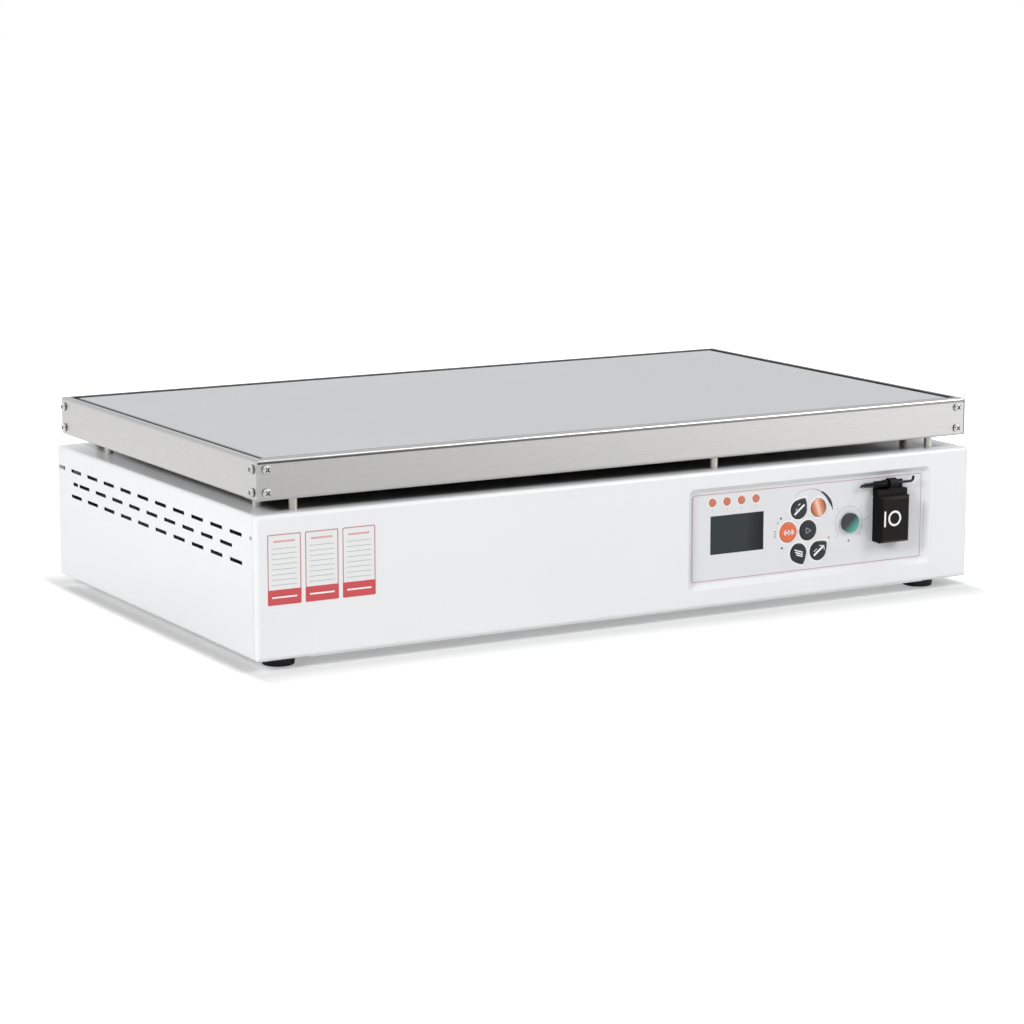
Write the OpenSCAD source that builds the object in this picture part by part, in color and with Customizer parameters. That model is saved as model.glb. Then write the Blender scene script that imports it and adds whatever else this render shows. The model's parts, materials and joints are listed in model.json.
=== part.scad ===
// Laboratory hot plate: a framed heating plate held on short posts over a flat white housing,
// with a recessed control panel at the right of the front. Millimetres, +Z up, front towards -Y.
// The origin is the middle of the footprint, on the surface that the feet stand on.

/* [Housing] */
// Width of the white housing
housing_w = 606; // [580:1:660]
// Depth of the white housing
housing_d = 356; // [340:1:400]
// Height of the white housing, without its feet
housing_h = 101.6; // [100:0.1:125]
// Thickness of the folded steel sheet
sheet_t = 1.5; // [1.2:0.1:2]
// Outer radius of the folds in the white sheet
fold_r = 3; // [2.5:0.1:4]
// Height of the feet that shows under the housing
foot_stand = 8; // [6:0.1:14]
// Diameter of a foot where it meets the housing
foot_d = 25; // [20:0.1:27]
// Distance from the housing's side to a foot's middle
foot_inset_x = 28; // [28:0.5:60]
// Distance from the housing's front or rear to a foot's middle
foot_inset_y = 25; // [24:0.5:60]

/* [Heating head] */
// Width of the framed heating head
head_w = 600; // [576:1:604]
// Depth of the framed heating head
head_d = 350; // [336:1:354]
// Height of the steel frame round the heating plate
head_h = 28.8; // [28.8:0.1:36]
// Air gap between the housing and the heating head
head_gap = 9; // [8:0.1:20]
// Thickness of the frame's steel strip
strip_t = 1.2; // [1:0.1:1.5]
// Width of the strip's top lip
lip_w = 5; // [4:0.1:6]
// Width of the groove between the lip and the heating plate
lip_groove = 5; // [1.5:0.1:6]
// Thickness of the heating plate
plate_t = 9; // [8:0.1:9]
// Depth of the heating plate's top below the lip
plate_drop = 0.5; // [0.5:0.1:1.2]
// Thickness of the flat heaters
heater_t = 3; // [2:0.1:3]
// Diameter of a spacer post
post_d = 6; // [5.5:0.1:9]

/* [Control panel] */
// Width of the recess for the control panel
recess_w = 220; // [218:0.5:226]
// Height of the recess for the control panel
recess_h = 76; // [74:0.5:80]
// Depth of the recess
recess_depth = 4.5; // [3:0.1:6]
// Distance from the recess to the housing's right side
recess_margin = 36.6; // [30:0.1:60]
// Distance from the recess to the housing's lower edge
recess_base = 13.5; // [11:0.1:15]
// Width of the printed overlay
overlay_w = 209.5; // [206:0.5:210]
// Height of the printed overlay
overlay_h = 65.6; // [64:0.1:68]
// Width of the display's window
lcd_w = 46.8; // [40:0.1:48]
// Height of the display's window
lcd_h = 28.5; // [24:0.1:29]
// Distance that a key moves when pressed
key_travel = 0.6; // [0.3:0.1:0.7]
// Diameter of the limiter's dial
dial_d = 15; // [13:0.1:18]
// Height of the limiter's dial over the overlay
dial_h = 3.5; // [3:0.1:6]
// Width of the switch's flip cover
cover_w = 27.4; // [27.4:0.1:29]
// Height of the switch's flip cover
cover_h = 40; // [38:0.1:42]
// Depth of the switch's flip cover
cover_depth = 11.6; // [11:0.1:13]

/* [Air slots] */
// Length of an air slot
slot_l = 19.5; // [14:0.1:24]
// Height of an air slot
slot_h = 2.6; // [2:0.1:4]
// Distance from one air slot to the next
slot_pitch = 32; // [30:0.1:34]
// Distance from one row of air slots to the next
slot_row = 9.8; // [6:0.1:14]

/* [Hidden] */
$fn = 48;

// Overrun of every cut past the face that it opens
over = 1;
// Radial clearance of a screw or shaft in its hole
fit_gap = 0.05;
// Gap between pieces that are laid or slid together
lay_gap = 0.3;

// Main levels and faces
housing_z = foot_stand;
housing_top = housing_z + housing_h;
front_y = -housing_d / 2;
rear_y = housing_d / 2;
side_x = housing_w / 2;
head_z = housing_top + head_gap;
head_top = head_z + head_h;
plate_top = head_top - plate_drop;
plate_w = head_w - 2 * (lip_w + lip_groove);
plate_d = head_d - 2 * (lip_w + lip_groove);
plate_z = plate_top - plate_t;

// White housing
seam_y = 3.5;
seam_gap = 0.4;
base_flange_w = 14;
tongue_d = 19;
edge_screw_in = 14;
top_tongue_d = 7;
base_z = housing_z + sheet_t;
cover_front_y = front_y + seam_y + seam_gap;
slot_top_drop = 16.1;
slot_count = 12;
slot_edge = 1.5;
slot_shift = -3;
short_slot_share = 0.45;
short_slot_place_share = 4.55;
flange_screw_shares = [-1, -0.34, 0.34, 1];
flange_screw_in_share = 0.55;

// Screws: shank, head diameter and head height of the M4, M3 and M5 sizes
m4_d = 4;
m4_head_d = 7;
m4_head_h = 2.4;
m3_d = 3;
m3_head_d = 5.6;
m3_head_h = 1.9;
m5_d = 5;
m5_head_d = 9.4;
m5_head_h = 3;
nut_rise_share = 0.8;
nut_width_share = 1.75;

// Frame round the heating plate
frame_fold_r = 2;
flange_w = 22;
corner_screw_x = 7.5;
frame_head_d = 6.4;
hem_h = 1.9;
hem_groove_h = 1.4;
hem_groove_share = 0.6;
corner_screw_y = 6.2;
corner_screw_low = 5.8;
corner_screw_high = 7;
bracket_leg = 17;
bracket_t = 2;
post_inset_front = 10;
post_inset_side = 15;
post_edge = 3;
post_near = 27;
post_mid = 76;
post_side_near = 32;
post_side_far = 57;
tray_t = 0.8;
tray_overlap = 3;
clamp_t = 1.5;
stud_len = 24;
stud_share = [[-0.42, -0.4], [0, -0.4], [0.42, -0.4], [-0.42, 0.4], [0, 0.4], [0.42, 0.4],
  [-0.21, 0], [0.21, 0]];
spacer_d = 12;

// Control panel
panel_x = side_x - recess_margin - recess_w / 2;
panel_z = housing_z + recess_base + recess_h / 2;
floor_y = front_y + recess_depth;
floor_t = 1.2;
floor_back = floor_y + floor_t;
recess_r = 5;
recess_slope = 3.5;
overlay_side_gap = 1.5;
overlay_end_gap = 1.7;
overlay_t = 0.3;
overlay_r = 2.5;
face_y = floor_y - overlay_t;
lamp_d = 6.5;
lamp_x = -86.8;
lamp_drop = 12;
lamp_z = recess_h / 2 - lamp_drop;
lamp_pitch = 12.87;
lamp_count = 4;
lamp_proud = 0.5;
lcd_x = -65;
lcd_drop = 24.5;
lcd_z = lamp_z - lcd_drop;
lcd_glass_t = 1.1;
key_x = -0.4;
key_z = -2.5;
key_pitch_x = 18;
key_pitch_z = 16.5;
key_shift = 9.5;
key_proud = 1.1;
key_gap = 0.3;
key_lip = 0.8;
key_lip_t = 0.9;
key_round_r = 7.5;
key_small_r = 6.8;
key_leaf_r = 7.1;
key_tip_share = 1.38;
key_bulge = 0.35;
key_steps = 24;
key_side_steps = 4;
board_gap = 6.4;
board_t = 1.6;
board_w = 122;
board_h = 62;
board_x = -40;
board_screw_in = 3.9;
board_y = floor_back + board_gap;
tact_w = 6;
tact_h = 2.5;
key_rest_share = 1.2;
dial_x = 36.9;
shaft_d = 6;
thermostat_w = 30.6;
thermostat_h = 40;
thermostat_d = 26;
shaft_depth_share = 0.8;
bulb_l = 70;

// Mains switch and its flip cover
switch_x = 72.4;
switch_drop = 25.7;
hinge_drop = 10;
hinge_z = recess_h / 2 - hinge_drop;
switch_z = hinge_z - switch_drop;
switch_w = 24;
switch_h = 31;
switch_rim = 2.2;
switch_r = 1;
blade_w = 6.3;
blade_t = 0.8;
blade_l = 8;
switch_cut_w = 21.8;
switch_cut_h = 29;
switch_depth = 27;
rocker_w = 17;
rocker_h = 24.4;
rocker_tilt = 9;
rocker_pivot = 1;
rocker_hub_d = 3;
rocker_hub_l = 1.1;
rocker_r = 16;
cover_wall = 1.2;
cover_step_h = 5;
cover_step_d = 7;
hinge_out = 4.9;
ear_w = 7;
ear_r = 4;
pin_d = 2;
pin_left = 28;
pin_right = 18;
hook_r = 2.6;
lug_w = 1.4;
lug_gap = 0.35;
base_pad_t = 0.9;
spring_wire = 0.7;
spring_r = 1.8;
spring_turns = 9;
spring_pitch = 2.05;

// Rear wall: the fuse cap stands as proud of it as the flip cover does of the front wall,
// so that the origin is the middle of the footprint
front_reach = cover_depth + overlay_t - recess_depth;
cap_proud = front_reach;
inlet_inset = 78;
inlet_x = side_x - inlet_inset;
inlet_z = 52;
inlet_w = 59;
inlet_h = 31;
inlet_rim = 3;
inlet_mouth_w = 30.5;
inlet_mouth_h = 21.5;
inlet_mouth_d = 18;
inlet_pin_l = 12;
inlet_wall = 2;
inlet_back_t = 4;
inlet_screw_pitch = 50;
fuse_pitch = 60;
fuse_x = inlet_x - fuse_pitch;
fuse_d = 5;
fuse_l = 20;
cap_d = 13;
holder_flange_d = 17;
holder_flange_t = 1.5;
holder_d = 12.6;
holder_l = 34;
earth_pitch = 50;
earth_x = fuse_x - earth_pitch;

// A rectangle with round corners, middle on the origin
module round_rect(w, h, r) {
  square([w - 2 * r, h], center = true);
  square([w, h - 2 * r], center = true);
  for (sx = [-1, 1]) {
    for (sy = [-1, 1]) {
      translate([sx * (w / 2 - r), sy * (h / 2 - r)]) circle(r);
    }
  }
}

// Turn a shape drawn in X and Y so that it stands upright and faces a side of the housing
module to_front() {
  rotate([90, 0, 0]) children();
}

module to_rear() {
  rotate([90, 0, 180]) children();
}

module to_left() {
  rotate([90, 0, -90]) children();
}

module to_right() {
  rotate([90, 0, 90]) children();
}

// A place on the control panel, given from the middle of the overlay, facing the front
module on_panel(x, z, y) {
  translate([panel_x + x, y, panel_z + z]) to_front() children();
}

// A screw with a crossed slot in its pan head, which sits on z = 0 with its shank below
module pan_screw(d, head_d, head_h, l) {
  slot_w_share = 0.16;
  slot_l_share = 0.62;
  slot_d_share = 0.55;
  slot_d = head_h * slot_d_share;
  crown_share = 0.5;
  difference() {
    union() {
      cylinder(d = head_d, h = head_h * crown_share);
      translate([0, 0, head_h * crown_share])
        cylinder(d1 = head_d, d2 = head_d * slot_l_share, h = head_h * (1 - crown_share));
      translate([0, 0, -l]) cylinder(d = d, h = l);
    }
    for (a = [0, 90]) {
      rotate([0, 0, a + 45])
        translate([-head_d * slot_l_share / 2, -head_d * slot_w_share / 2, head_h - slot_d])
          cube([head_d * slot_l_share, head_d * slot_w_share, slot_d + over]);
    }
  }
}

// A hexagon nut that sits on z = 0
module hex_nut(d) {
  difference() {
    cylinder(d = d * nut_width_share, h = d * nut_rise_share, $fn = 6);
    translate([0, 0, -over]) cylinder(r = d / 2 + fit_gap, h = d * nut_rise_share + 2 * over);
  }
}

// A tube swept along a list of points
function unit(v) = v / norm(v);
function heading(p, i) =
  i == 0 ? unit(p[1] - p[0]) :
  i == len(p) - 1 ? unit(p[i] - p[i - 1]) :
  unit(unit(p[i] - p[i - 1]) + unit(p[i + 1] - p[i]));
function side_step(t, n) = unit(n - (n * t) * t);
function first_side(t) = side_step(t, abs(t[2]) < 0.7 ? [0, 0, 1] : [1, 0, 0]);
function sides(p, i = 0, kept = []) =
  i == len(p) ? kept :
  sides(p, i + 1, concat(kept, [i == 0 ? first_side(heading(p, 0))
    : side_step(heading(p, i), kept[i - 1])]));

module tube(p, d, n) {
  s = sides(p);
  rings = [for (i = [0 : len(p) - 1])
    let (t = heading(p, i), u = s[i], v = cross(t, u))
    for (k = [0 : n - 1])
      p[i] + d / 2 * (cos(360 * k / n) * u + sin(360 * k / n) * v)];
  last = (len(p) - 1) * n;
  walls = [for (i = [0 : len(p) - 2])
    for (k = [0 : n - 1])
      let (a = i * n + k, b = i * n + (k + 1) % n)
      for (f = [[a, a + n, b], [b, a + n, b + n]]) f];
  near_cap = [for (k = [1 : n - 2]) [0, k, k + 1]];
  far_cap = [for (k = [1 : n - 2]) [last, last + k + 1, last + k]];
  polyhedron(points = rings, faces = concat(walls, near_cap, far_cap));
}

// Rows of air slots for a side wall, drawn with X along the wall and Y up from the slots' top row
module air_slots() {
  front_end = cover_front_y + slot_edge;
  rear_end = rear_y - slot_edge;
  intersection() {
    translate([front_end, -housing_h]) square([rear_end - front_end, 2 * housing_h]);
    for (row = [0 : 2]) {
      count = row == 0 ? slot_count : row == 1 ? slot_count - 3 : slot_count - 2;
      for (i = [0 : count - 1]) {
        translate([(i - (count - 1) / 2) * slot_pitch + slot_shift, -row * slot_row])
          square([slot_l, slot_h], center = true);
      }
    }
  }
  short_l = slot_l * short_slot_share;
  translate([slot_pitch * short_slot_place_share + slot_shift, -slot_row])
    square([short_l, slot_h], center = true);
}

// Folded white sheet: top, both sides and the narrow flanges under the sides
module housing_cover() {
  len_y = rear_y - cover_front_y;
  color("white")
  difference() {
    translate([0, rear_y, housing_z + housing_h / 2]) to_front() linear_extrude(len_y)
      difference() {
        round_rect(housing_w, housing_h, fold_r);
        round_rect(housing_w - 2 * sheet_t, housing_h - 2 * sheet_t, fold_r - sheet_t);
        translate([0, -housing_h / 2])
          square([housing_w - 2 * base_flange_w, 2 * fold_r], center = true);
      }
    for (s = [-1, 1]) {
      translate([s * (side_x + over), 0, housing_top - slot_top_drop])
        mirror([s > 0 ? 1 : 0, 0, 0]) to_right()
          linear_extrude(2 * over + sheet_t) air_slots();
    }
    for (p = post_places()) {
      translate([p[0], p[1], housing_top - sheet_t - over])
        cylinder(r = m4_d / 2 + fit_gap, h = sheet_t + 2 * over);
    }
    translate([bushing_x, bushing_y, housing_top - sheet_t - over])
      cylinder(d = bushing_d + 2 * fit_gap, h = sheet_t + 2 * over);
    for (p = flange_screw_places()) {
      translate([p[0], p[1], housing_z - over])
        cylinder(r = m4_d / 2 + fit_gap, h = sheet_t + 2 * over);
    }
  }
}

// Screws that hold the base plate: along both side flanges, and along the front tongue and rear lip
function flange_screw_places() = [
  for (sx = [-1, 1])
  for (sy = flange_screw_shares)
  [sx * (side_x - base_flange_w + m4_head_d * flange_screw_in_share),
    sy * (housing_d / 2 - foot_inset_y * 2)]
];
function edge_screw_places() = [
  for (sy = [-1, 1])
  for (sx = [-1, 0, 1])
  [sx * housing_w / 3, sy * (housing_d / 2 - edge_screw_in)]
];

// Width of the tongue and the lip under the housing, which end short of the feet
function tongue_under_w() = 2 * (foot_x - foot_d / 2 - foot_well_gap);

// A block with its front edges rounded, front face on y = 0
module round_front(w, h, d, r) {
  intersection() {
    translate([0, d, 0]) to_front() linear_extrude(d) round_rect(w, h, r);
    translate([0, d, 0]) linear_extrude(h, center = true) round_rect(w, 2 * d, r);
    translate([0, d, 0]) to_right() linear_extrude(w, center = true) round_rect(2 * d, h, r);
  }
}

// Front wall with rounded edges, the recess for the control panel and hidden return tongues
module front_panel() {
  rim_d = seam_y;
  inner_w = tongue_under_w();
  tongue_z = housing_top - 2 * sheet_t - fit_gap;
  tongue_w = housing_w - 4 * fold_r;
  cutter = sheet_t + 2 * over;
  color("white")
  difference() {
    union() {
      difference() {
        translate([0, front_y, housing_z + housing_h / 2])
          round_front(housing_w, housing_h, rim_d, fold_r);
        translate([0, front_y + sheet_t, housing_z + housing_h / 2])
          round_front(housing_w - 2 * sheet_t, housing_h - 2 * sheet_t, rim_d, fold_r - sheet_t);
        translate([panel_x, front_y + sheet_t + over, panel_z])
          to_front() linear_extrude(cutter) round_rect(recess_w, recess_h, recess_r);
      }
      recess_pan();
      translate([-tongue_w / 2, front_y + sheet_t - fit_gap, tongue_z])
        cube([tongue_w, top_tongue_d, sheet_t]);
      translate([-inner_w / 2, front_y + sheet_t - fit_gap, housing_z])
        cube([inner_w, tongue_d, sheet_t]);
      translate([-tongue_w / 2, front_y + sheet_t - fit_gap, tongue_z])
        cube([tongue_w, sheet_t, 2 * sheet_t - fold_r / 2]);
    }
    for (p = edge_screw_places()) {
      translate([p[0], p[1], housing_z - over])
        cylinder(r = m4_d / 2 + fit_gap, h = sheet_t + 2 * over);
    }
    panel_cuts(floor_y - over, floor_t + 2 * over);
  }
}

// Pressed pan behind the opening: sloping walls down to a flat floor, wide enough for the overlay
module recess_pan() {
  floor_w = max(recess_w - 2 * recess_slope, overlay_w + 2 * overlay_side_gap);
  floor_h = max(recess_h - 2 * recess_slope, overlay_h + 2 * overlay_end_gap);
  skin = 0.01;
  difference() {
    hull() {
      translate([panel_x, front_y + sheet_t, panel_z]) to_front() linear_extrude(sheet_t)
        round_rect(recess_w + 2 * sheet_t, recess_h + 2 * sheet_t, recess_r + sheet_t, $fn = 32);
      translate([panel_x, floor_back, panel_z]) to_front() linear_extrude(floor_t)
        round_rect(floor_w + 2 * sheet_t, floor_h + 2 * sheet_t, recess_r, $fn = 32);
    }
    hull() {
      translate([panel_x, front_y, panel_z]) to_front() linear_extrude(over)
        round_rect(recess_w, recess_h, recess_r, $fn = 32);
      translate([panel_x, floor_y, panel_z]) to_front() linear_extrude(skin)
        round_rect(floor_w, floor_h, recess_r - recess_slope / 2, $fn = 32);
    }
  }
}

// Openings in the panel's floor, cut back from y for a given depth
module panel_cuts(y, depth) {
  on_panel(lcd_x, lcd_z, y + depth) linear_extrude(depth)
    square([lcd_w, lcd_h], center = true);
  for (i = [0 : lamp_count - 1]) {
    on_panel(lamp_x + i * lamp_pitch, lamp_z, y + depth)
      cylinder(d = lamp_d + 2 * fit_gap, h = depth);
  }
  for (k = [0 : 5]) {
    p = key_place(k);
    on_panel(p[0], p[1], y + depth) linear_extrude(depth) key_outline(k, key_gap);
  }
  on_panel(dial_x, 0, y + depth) cylinder(d = shaft_d + 2 * lay_gap, h = depth);
  on_panel(switch_x, switch_z, y + depth) linear_extrude(depth)
    square([switch_cut_w + 2 * fit_gap, switch_cut_h + 2 * fit_gap], center = true);
}

// Keys: 0 and 1 in the upper row, 2 and 3 in the middle row, 4 and 5 in the lower row
function key_place(k) =
  let (row = floor(k / 2), col = k % 2)
  [key_x + (col - 0.5) * key_pitch_x - (row == 1 ? key_shift : 0), key_z + (1 - row) * key_pitch_z];
function key_tip(k) = k == 0 ? 54 : k == 4 ? -65 : k == 5 ? 38 : undef;

// Leaf outline: an arc closed by two slightly bulging sides that meet in a tip on +X
function side_point(r, tip, a, u, s) =
  (1 - u) * r * [cos(a), s * sin(a)] + u * [tip, 0] + key_bulge * sin(180 * u) * [cos(a), s * sin(a)];
function leaf(r, tip) =
  let (a = acos(r / tip))
  concat(
    [for (i = [0 : key_steps]) let (t = a + i * (360 - 2 * a) / key_steps) r * [cos(t), sin(t)]],
    [for (i = [1 : key_side_steps]) side_point(r, tip, a, i / key_side_steps, -1)],
    [for (i = [1 : key_side_steps - 1]) side_point(r, tip, a, 1 - i / key_side_steps, 1)]
  );

module key_outline(k, grow) {
  tip = key_tip(k);
  if (tip == undef) {
    circle((k == 1 ? key_small_r : key_round_r) + grow);
  } else {
    r = key_leaf_r + grow;
    rotate([0, 0, tip]) polygon(leaf(r, r * key_tip_share));
  }
}

// Rear wall: lies inside the cover, with return flanges, air slots and the electrical openings
module rear_panel() {
  w = housing_w - 2 * sheet_t - 2 * lay_gap;
  top = housing_top - sheet_t - lay_gap;
  bottom = housing_z;
  in_w = tongue_under_w();
  rear_slots = 7;
  color("white")
  difference() {
    union() {
      translate([0, rear_y, (top + bottom + sheet_t + lay_gap) / 2]) to_front()
        linear_extrude(sheet_t) round_rect(w, top - bottom - sheet_t - lay_gap, fold_r);
      translate([-in_w / 2, rear_y - sheet_t, bottom])
        cube([in_w, sheet_t, 2 * sheet_t]);
      translate([-in_w / 2, rear_y - tongue_d, bottom])
        cube([in_w, tongue_d, sheet_t]);
      translate([-w / 2 + fold_r, rear_y - top_tongue_d, top - sheet_t])
        cube([w - 2 * fold_r, top_tongue_d, sheet_t]);
    }
    for (p = edge_screw_places()) {
      translate([p[0], p[1], housing_z - over])
        cylinder(r = m4_d / 2 + fit_gap, h = sheet_t + 2 * over);
    }
    for (i = [0 : rear_slots - 1]) {
      for (row = [0 : 2]) {
        translate([-side_x / 2 + (i - (rear_slots - 1) / 2) * slot_pitch, rear_y,
          housing_top - slot_top_drop - row * slot_row])
          cube([slot_l, 2 * sheet_t + over, slot_h], center = true);
      }
    }
    translate([inlet_x, rear_y, housing_z + inlet_z])
      cube([inlet_mouth_w + 2 * (inlet_wall + fit_gap), 2 * sheet_t + over,
        inlet_mouth_h + 2 * (inlet_wall + fit_gap)], center = true);
    for (s = [-1, 1]) {
      translate([inlet_x + s * inlet_screw_pitch / 2, rear_y - sheet_t - over, housing_z + inlet_z])
        rotate([-90, 0, 0]) cylinder(r = m3_d / 2 + fit_gap, h = sheet_t + 2 * over);
    }
    translate([fuse_x, rear_y - sheet_t - over, housing_z + inlet_z])
      rotate([-90, 0, 0]) cylinder(r = holder_d / 2 + fit_gap, h = sheet_t + 2 * over);
    translate([earth_x, rear_y - sheet_t - over, housing_z + inlet_z])
      rotate([-90, 0, 0]) cylinder(r = m5_d / 2 + fit_gap, h = sheet_t + 2 * over);
  }
}

// Base plate: lies on the side flanges, the front tongue and the rear lip
foot_x = side_x - foot_inset_x;
foot_y = housing_d / 2 - foot_inset_y;
foot_seat = 3;
foot_well_gap = 0.5;
function foot_places() = [for (sx = [-1, 1]) for (sy = [-1, 1]) [sx * foot_x, sy * foot_y]];

module base_plate() {
  w = housing_w - 2 * sheet_t - 2 * lay_gap - 2 * fold_r;
  d = housing_d - 4 * sheet_t - 2 * lay_gap;
  color("gainsboro")
  difference() {
    translate([-w / 2, -d / 2, base_z]) cube([w, d, sheet_t]);
    for (p = concat(flange_screw_places(), edge_screw_places())) {
      translate([p[0], p[1], base_z - over])
        cylinder(r = m4_d / 2 + fit_gap, h = sheet_t + 2 * over);
    }
    for (p = foot_places()) {
      translate([p[0], p[1], base_z - over])
        cylinder(r = m5_d / 2 + fit_gap, h = sheet_t + 2 * over);
    }
  }
}

// Tapered rubber feet with a well for the screw head
module rubber_feet() {
  taper = 2.6;
  well_d = m5_head_d + 2 * foot_well_gap;
  color([0.08, 0.08, 0.09])
  for (p = foot_places()) {
    translate([p[0], p[1], 0])
    difference() {
      cylinder(d1 = foot_d - taper, d2 = foot_d, h = base_z);
      translate([0, 0, -over]) cylinder(d = well_d, h = base_z - foot_seat + over);
      translate([0, 0, -over]) cylinder(r = m5_d / 2 + fit_gap, h = base_z + 2 * over);
    }
  }
}

module foot_screws() {
  color("silver")
  for (p = foot_places()) {
    translate([p[0], p[1], base_z - foot_seat]) mirror([0, 0, 1])
      pan_screw(m5_d, m5_head_d, m5_head_h, foot_seat + sheet_t + m5_d * nut_rise_share + over);
  }
}

module base_screws() {
  color("silver")
  for (p = concat(flange_screw_places(), edge_screw_places())) {
    translate([p[0], p[1], housing_z]) mirror([0, 0, 1])
      pan_screw(m4_d, m4_head_d, m4_head_h, 2 * sheet_t + m4_d);
  }
}

// Three thin stickers at the left of the front wall
sticker_w = 26;
sticker_h = 49.8;
sticker_pitch = 28.5;
sticker_inset = 21.6;
sticker_z = 63.4;
sticker_count = 3;
sticker_t = 0.15;
sticker_r = 1.5;

module record_stickers() {
  color("whitesmoke")
  for (i = [0 : sticker_count - 1]) {
    translate([-side_x + sticker_inset + i * sticker_pitch, front_y, housing_z + sticker_z])
      to_front() linear_extrude(sticker_t) round_rect(sticker_w, sticker_h, sticker_r);
  }
}

// Section of a frame strip: the outer wall on x = 0, the lip at the top and the flange below
module strip_section() {
  inner_r = frame_fold_r - strip_t;
  difference() {
    intersection() {
      translate([flange_w, head_h / 2]) round_rect(2 * flange_w, head_h, frame_fold_r);
      union() {
        square([flange_w, head_h / 2]);
        square([lip_w, head_h]);
      }
    }
    translate([flange_w, head_h / 2])
      round_rect(2 * (flange_w - strip_t), head_h - 2 * strip_t, inner_r);
  }
}

module frame_end_strip(s) {
  w = head_w - 2 * strip_t;
  groove_d = strip_t * hem_groove_share;
  difference() {
    translate([0, s * head_d / 2, head_z]) mirror([0, s > 0 ? 1 : 0, 0])
      to_right() linear_extrude(w, center = true) strip_section();
    translate([0, s * (head_d - groove_d + over) / 2, head_top - hem_h - hem_groove_h / 2])
      cube([w + 2 * over, groove_d + over, hem_groove_h], center = true);
    for (p = post_places()) {
      translate([p[0], p[1], head_z - over]) cylinder(r = m4_d / 2 + fit_gap, h = strip_t + 2 * over);
    }
    for (sx = [-1, 1]) {
      for (z = screw_levels()) {
        translate([sx * (head_w / 2 - corner_screw_x), s * head_d / 2, z])
          rotate([90, 0, 0]) cylinder(r = m4_d / 2 + fit_gap, h = 2 * (strip_t + over), center = true);
      }
    }
  }
}

function screw_levels() = [head_z + corner_screw_low, head_top - corner_screw_high];

module frame_side_strip(s) {
  difference() {
    translate([s * head_w / 2, 0, head_z]) mirror([s > 0 ? 1 : 0, 0, 0])
      rotate([90, 0, 0]) linear_extrude(head_d, center = true) strip_section();
    for (sy = [-1, 1]) {
      translate([s * (head_w / 2 - strip_t - flange_w / 2), sy * (head_d / 2 - flange_w / 2 + over / 2),
        head_z + head_h / 4 - over / 2])
        cube([flange_w, flange_w + over, head_h / 2 + over], center = true);
      translate([s * (head_w / 2 - strip_t - lip_w / 2), sy * (head_d / 2 - lip_w / 2 + over / 2),
        head_top - head_h / 4 + over / 2])
        cube([lip_w, lip_w + over, head_h / 2 + over], center = true);
      for (z = screw_levels()) {
        translate([s * head_w / 2, sy * (head_d / 2 - corner_screw_y), z])
          rotate([0, 90, 0]) cylinder(r = m4_d / 2 + fit_gap, h = 2 * (strip_t + over), center = true);
      }
    }
    for (p = post_places()) {
      translate([p[0], p[1], head_z - over]) cylinder(r = m4_d / 2 + fit_gap, h = strip_t + 2 * over);
    }
  }
}

module frame_front() {
  color("silver") frame_end_strip(-1);
}

module frame_rear() {
  color("silver") frame_end_strip(1);
}

module frame_left() {
  color("silver") frame_side_strip(-1);
}

module frame_right() {
  color("silver") frame_side_strip(1);
}

// Angle brackets inside the frame's corners, which the corner screws thread into
module corner_brackets() {
  low = head_z + frame_fold_r;
  h = head_h - 2 * frame_fold_r;
  color("darkgray")
  for (sx = [-1, 1]) {
    for (sy = [-1, 1]) {
      difference() {
        translate([sx * (head_w / 2 - strip_t), sy * (head_d / 2 - strip_t), low])
          mirror([sx > 0 ? 1 : 0, 0, 0]) mirror([0, sy > 0 ? 1 : 0, 0])
            union() {
              cube([bracket_leg, bracket_t, h]);
              cube([bracket_t, bracket_leg, h]);
            }
        for (z = screw_levels()) {
          translate([sx * (head_w / 2 - corner_screw_x), sy * head_d / 2, z]) rotate([90, 0, 0])
            cylinder(r = m4_d / 2 + fit_gap, h = 2 * (strip_t + bracket_t + over), center = true);
          translate([sx * head_w / 2, sy * (head_d / 2 - corner_screw_y), z]) rotate([0, 90, 0])
            cylinder(r = m4_d / 2 + fit_gap, h = 2 * (strip_t + bracket_t + over), center = true);
        }
      }
    }
  }
}

module frame_screws() {
  l = strip_t + bracket_t + over;
  color("silver")
  for (z = screw_levels()) {
    for (sx = [-1, 1]) {
      translate([sx * (head_w / 2 - corner_screw_x), -head_d / 2, z]) to_front()
        pan_screw(m4_d, frame_head_d, m4_head_h, l);
      translate([sx * (head_w / 2 - corner_screw_x), head_d / 2, z]) to_rear()
        pan_screw(m4_d, frame_head_d, m4_head_h, l);
    }
    for (sy = [-1, 1]) {
      translate([-head_w / 2, sy * (head_d / 2 - corner_screw_y), z]) to_left()
        pan_screw(m4_d, frame_head_d, m4_head_h, l);
      translate([head_w / 2, sy * (head_d / 2 - corner_screw_y), z]) to_right()
        pan_screw(m4_d, frame_head_d, m4_head_h, l);
    }
  }
}

// Heating plate with softened upper edges and blind holes for its studs
module heating_plate() {
  chamfer = 0.6;
  blind = plate_t / 2;
  color([0.78, 0.81, 0.83])
  difference() {
    intersection() {
      translate([-plate_w / 2, -plate_d / 2, plate_z]) cube([plate_w, plate_d, plate_t]);
      translate([0, 0, plate_z]) rotate([90, 0, 0]) linear_extrude(plate_d + over, center = true)
        plate_section(plate_w, chamfer);
      translate([0, 0, plate_z]) rotate([90, 0, 90]) linear_extrude(plate_w + over, center = true)
        plate_section(plate_d, chamfer);
    }
    for (p = stud_places()) {
      translate([p[0], p[1], plate_z - over]) cylinder(r = m5_d / 2 + fit_gap, h = blind + over);
    }
  }
}

module plate_section(w, c) {
  polygon([[-w / 2, 0], [w / 2, 0], [w / 2, plate_t - c], [w / 2 - c, plate_t],
    [-w / 2 + c, plate_t], [-w / 2, plate_t - c]]);
}

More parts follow.
